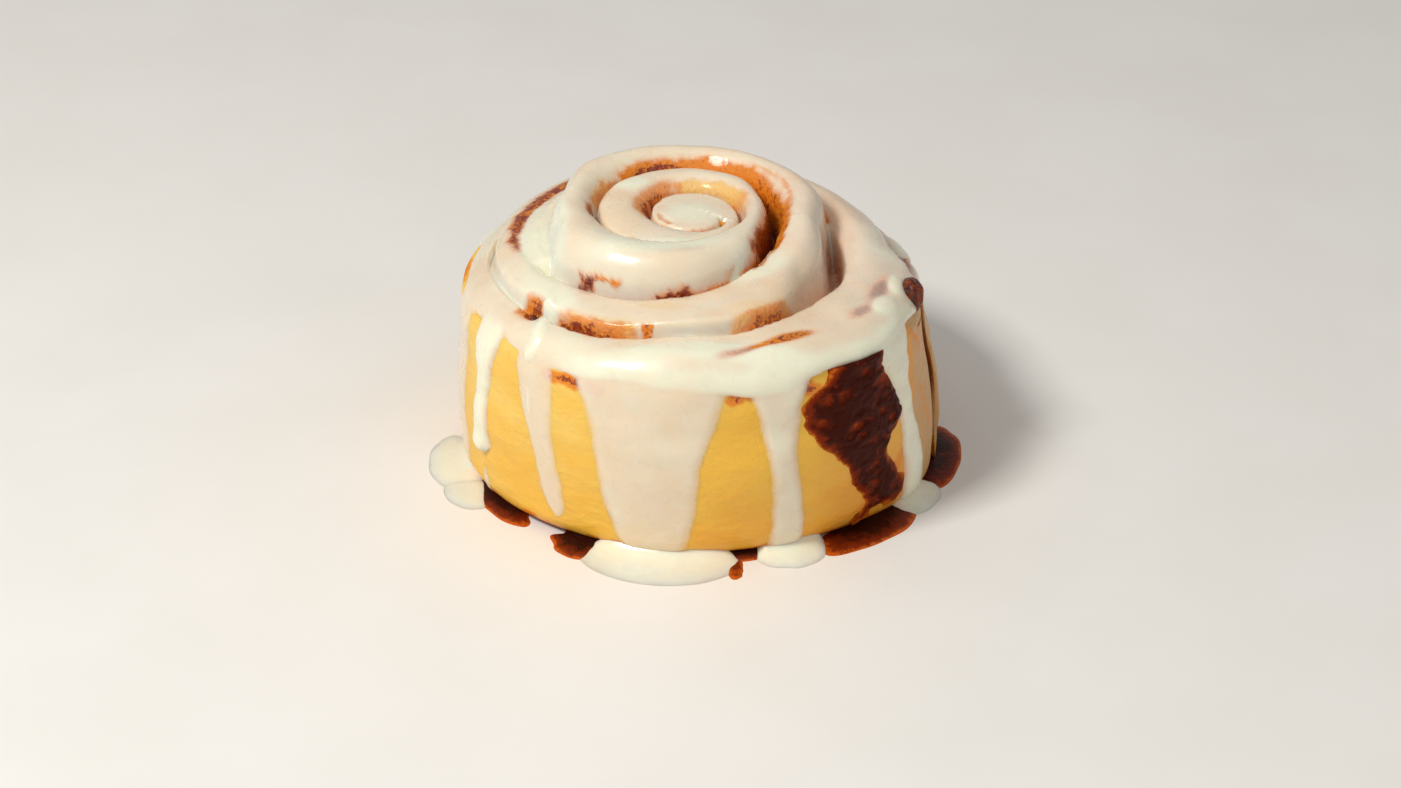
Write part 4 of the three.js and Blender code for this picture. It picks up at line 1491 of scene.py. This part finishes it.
    def build(self) -> list[bpy.types.Object]:
        """Makes the skin and the pools, dresses them and puts them on the frame."""
        points, out, azimuth, on_wall = self.base()
        field_of = self.thickness(points, azimuth, on_wall)
        skin = Skin("icing_coat", points, out, field_of["thick"], pole=True)
        marks = {"film": field_of["film"], "stain": field_of["stain"], "low": browning_and_shade(points)}
        pieces = [skin.build(marks)]
        pieces += [pool.build() for pool in ICING_POOLS]
        finish = IcingFinish().make()
        for piece in pieces:
            piece.data.materials.append(finish)
            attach(piece, "root")
            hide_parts("icing")
        return pieces


# ---- Pools and puddles ----


@dataclass(frozen=True)
class Pool:
    """Flat drop at the roll's foot, bent round it.

    Its outline is an oval in azimuth and radius, scaled by 1 + wobble * noise round it. Its height is
    high * (1 - rho ** 3) ** rim of the share rho of the way to the outline, raised against the wall.
    Its film is that height plus depth.
    """

    name: str
    azimuth: tuple[float, float]
    radius: tuple[float, float]
    high: float
    wobble: float = 0.12
    climb: float = 0.0
    seed: int = 1
    depth: float = 0.0
    rim: float = 0.5
    rings: int = 30
    sides: int = 120

    def build(self) -> bpy.types.Object:
        """Makes the closed drop."""
        t = np.linspace(0, 2 * np.pi, self.sides, endpoint=False)[None, :]
        around = np.stack([4 * np.cos(t), 4 * np.sin(t), 0 * t], -1)
        outline = 1 + self.wobble * Noise(self.seed).layered(around, 3.0, 2)
        rho = np.concatenate([[0.02], np.linspace(0.0, 1.0, self.rings)[1:] ** 0.6])[:, None]
        middle = (sum(self.azimuth) / 2, sum(self.radius) / 2)
        azimuth = middle[0] + (self.azimuth[1] - self.azimuth[0]) / 2 * np.cos(t) * rho * outline
        radius = middle[1] + (self.radius[1] - self.radius[0]) / 2 * np.sin(t) * rho * outline
        swell = 1 + 0.15 * Noise(self.seed + 5).at(polar(azimuth, radius, 0.0), 4.0)
        z = self.high * swell * np.clip(1 - rho**3, 0, 1) ** self.rim
        foot = 47.6 - Settle().tuck.at(azimuth)
        rise = self.climb * np.exp(-np.clip(radius - foot, 0, 9) / 1.8) * np.clip(1 - rho**4, 0, 1)
        top = polar(azimuth, radius, z + rise)
        rings = np.concatenate([top, polar(azimuth[::-6], radius[::-6], 0.0)])
        film = np.concatenate([z + rise, (z + rise)[::-6]]) + self.depth
        return loft_object(self.name, rings, {"film": film})


ICING_POOLS = (
    Pool("icing_pool_far_left", (-184, -159), (45.5, 57.6), 1.0, 0.1, 1.6, 2, 1.0, 0.9),
    Pool("icing_pool_left", (-167, -150), (46.5, 56.8), 0.7, 0.14, 0.4, 3, 0.9, 0.9),
    Pool("icing_pool_front", (-121, -80), (38, 54.2), 0.6, 0.11, 4.0, 4, 1.0, 0.8),
    Pool("icing_pool_front_small", (-76, -56.5), (38, 51.4), 0.8, 0.13, 3.6, 5, 0.9, 0.8),
    Pool("icing_pool_front_right", (-34, -16.5), (43.5, 53.8), 0.8, 0.13, 3.0, 6, 0.9, 0.8),
    Pool("icing_pool_back_right", (37, 58), (44, 55.2), 0.8, 0.1, 1.6, 7, 0.9, 0.8),
    Pool("icing_pool_back_left", (109, 133), (44, 55.8), 0.8, 0.1, 1.6, 8, 0.9, 0.8),
)

SYRUP_POOLS = {
    "syrup_puddle_left": (Pool("syrup_left", (-165.5, -138.5), (43.5, 50.6), 0.7, 0.2, 0.5, 12, 0.0, 0.9),),
    "syrup_puddle_front_left": (
        Pool("syrup_front_left", (-131, -113.5), (40.5, 50.2), 0.8, 0.24, 0.6, 13, 0.0, 0.9),
    ),
    "syrup_puddle_front": (
        Pool("syrup_front", (-88.5, -68.5), (39, 45.8), 0.7, 0.15, 0.4, 14, 0.0, 0.9),
        Pool("syrup_front_tail", (-84.6, -79.4), (42, 51.8), 0.35, 0.2, 0.0, 15, 0.0, 0.9),
    ),
    "syrup_puddle_front_right": (
        Pool("syrup_front_right", (-59.5, -25), (41.5, 53.0), 0.75, 0.2, 0.5, 16, 0.0, 0.9),
    ),
    "syrup_puddle_right": (Pool("syrup_right", (-21.5, 10), (45, 55.6), 0.75, 0.24, 0.4, 17, 0.0, 0.9),),
}


@dataclass
class Syrup:
    """The puddles of baked-out syrup round the base."""

    def build(self) -> list[bpy.types.Object]:
        """Makes every puddle, dresses it and puts it on the frame."""
        finish = SyrupFinish().make()
        pieces = []
        for node, pools in SYRUP_POOLS.items():
            for pool in pools:
                piece = pool.build()
                piece.data.materials.append(finish)
                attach(piece, "root")
                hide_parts(node)
                pieces.append(piece)
        return pieces


@dataclass
class Smear:
    """Patch of baked-out filling on the right of the wall, wrinkled and ragged."""

    coil: Coil
    relief: Relief
    azimuth: tuple[float, float] = (-72.0, -26.0)
    z: tuple[float, float] = (1.0, 44.0)
    columns: int = 121
    rows: int = 121
    thick: float = 0.75
    left: Rows = (
        (1, -46), (6, -47), (11, -48.5), (16, -52), (21, -57.5), (26, -61.5), (30, -64.5), (34, -66.5),
        (38, -64.5), (42, -59), (44, -57),
    )
    right: Rows = (
        (1, -31), (5, -31), (10, -35), (15, -38.5), (21, -37.5), (25, -34.5), (31, -36), (37, -39.5),
        (44, -42),
    )

    def build(self) -> bpy.types.Object:
        """Makes the patch.

        Its thickness is thick * (depth inside its outline) plus ridged noise, and falls below nothing
        beyond the outline, whose left and right edges are smooth curves of height.
        """
        z = np.linspace(self.z[1], self.z[0], self.rows)[:, None]
        azimuth = np.linspace(*self.azimuth, self.columns)[None, :]
        points = polar(azimuth, self.coil.wall_radius(azimuth), z)
        out = polar(azimuth, 1.0 + 0 * z, 0.0)
        points = points + out * self.relief.wall(points)[..., None]
        left = Track(self.left).at(z)
        right = Track(self.right).at(z)
        ragged = Noise(61)
        edge = np.minimum(azimuth - left, right - azimuth) * math.radians(1) * self.coil.wall
        edge = np.minimum(edge, 0.9 * (z - 3.5)) + 1.6 * ragged.layered(points, 5.0, 3)
        ridge = 1 - 2 * np.abs(Noise(63).layered(points * [1, 1, 1.4], 4.2, 3))
        thick = self.thick * smooth(0.0, 3.4, edge) * (0.55 + 0.45 * ridge) + 0.25 * smooth(0.0, 1.0, edge)
        thick = np.where(edge > 0, thick, np.maximum(0.4 * edge, HIDDEN))
        skin = Skin("cinnamon_wall_patch", points, out, thick, around=False)
        smear = skin.build({"film": np.clip(thick, 0, 3)})
        smear.data.materials.append(SmearFinish().make())
        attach(smear, "root")
        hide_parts("cinnamon_smear")
        return smear


# ---- Stage ----


@dataclass
class Stage:
    """Pale floor, soft studio light and the camera."""

    lens: float = 80.0
    distance: float = 655.0
    elevation: float = 30.5
    aim: float = 12.4

    def floor(self) -> None:
        """Flat pale floor under the roll."""
        half = 3000.0
        points = half * np.array([[-1, -1, 0], [1, -1, 0], [1, 1, 0], [-1, 1, 0]], dtype=float)
        floor = mesh_object("floor", points, [np.array([[0, 1, 2, 3]])], {})
        n = Nodes("pale floor")
        colour = n.mix(n.spread(n.noise(40.0), 0.3, 0.7), shade(246, 244, 240), shade(243, 241, 236))
        n.wire(colour, n.shader.inputs["Base Color"])
        n.set(Roughness=0.55)
        floor.data.materials.append(n.material)

    def light(
        self,
        name: str,
        azimuth: float,
        elevation: float,
        size: float,
        power: float,
        colour: tuple[float, float, float],
    ) -> None:
        """Square soft light that looks at the roll.

        Args:
            name: its name.
            azimuth: azimuth it stands at.
            elevation: degrees above the floor.
            size: side in metres.
            power: watts.
            colour: light colour.
        """
        lamp = bpy.data.lights.new(name, "AREA")
        lamp.size, lamp.energy, lamp.color = size, power, colour
        made = bpy.data.objects.new(name, lamp)
        bpy.context.scene.collection.objects.link(made)
        a, e = math.radians(azimuth), math.radians(elevation)
        place = Vector((math.cos(a) * math.cos(e), math.sin(a) * math.cos(e), math.sin(e))) * 0.9
        made.location = place + Vector((0, 0, 0.03))
        made.rotation_euler = (-place).to_track_quat("-Z", "Y").to_euler()

    def build(self) -> None:
        """Sets up the floor, the lights and the camera."""
        self.floor()
        self.light("key", -140, 50, 0.2, 5.6, (1.0, 0.97, 0.92))
        self.light("fill", -50, 35, 0.9, 0.8, (1.0, 0.98, 0.95))
        world = bpy.data.worlds.new("soft room")
        world.use_nodes = True
        world.node_tree.nodes["Background"].inputs["Color"].default_value = (1.0, 0.985, 0.97, 1.0)
        world.node_tree.nodes["Background"].inputs["Strength"].default_value = 0.34
        bpy.context.scene.world = world
        bpy.context.scene.view_settings.view_transform = "Standard"
        camera = bpy.data.cameras.new("camera")
        camera.lens, camera.sensor_width, camera.clip_start = self.lens, 36.0, 0.01
        made = bpy.data.objects.new("camera", camera)
        bpy.context.scene.collection.objects.link(made)
        e = math.radians(self.elevation)
        back = Vector((0, -math.cos(e), math.sin(e)))
        made.location = Vector((0, 0, self.aim * MM)) + back * self.distance * MM
        made.rotation_euler = (-back).to_track_quat("-Z", "Y").to_euler()
        bpy.context.scene.camera = made


def main() -> None:
    """Builds the roll on its frame, and reports each piece."""
    logging.basicConfig(level=logging.INFO, format="%(name)s: %(message)s")
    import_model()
    coil, relief = Coil(), Relief()
    Stage().build()
    pieces = [Dough(coil, relief).build()]
    pieces += Filling(coil, relief).build()
    pieces += Icing(coil, relief).build()
    pieces.append(Smear(coil, relief).build())
    pieces += Syrup().build()
    for piece in pieces:
        mesh = piece.data
        LOG.info("%s: %d triangles", piece.name, len(mesh.loops) - 2 * len(mesh.polygons))


if __name__ == "__main__":
    main()
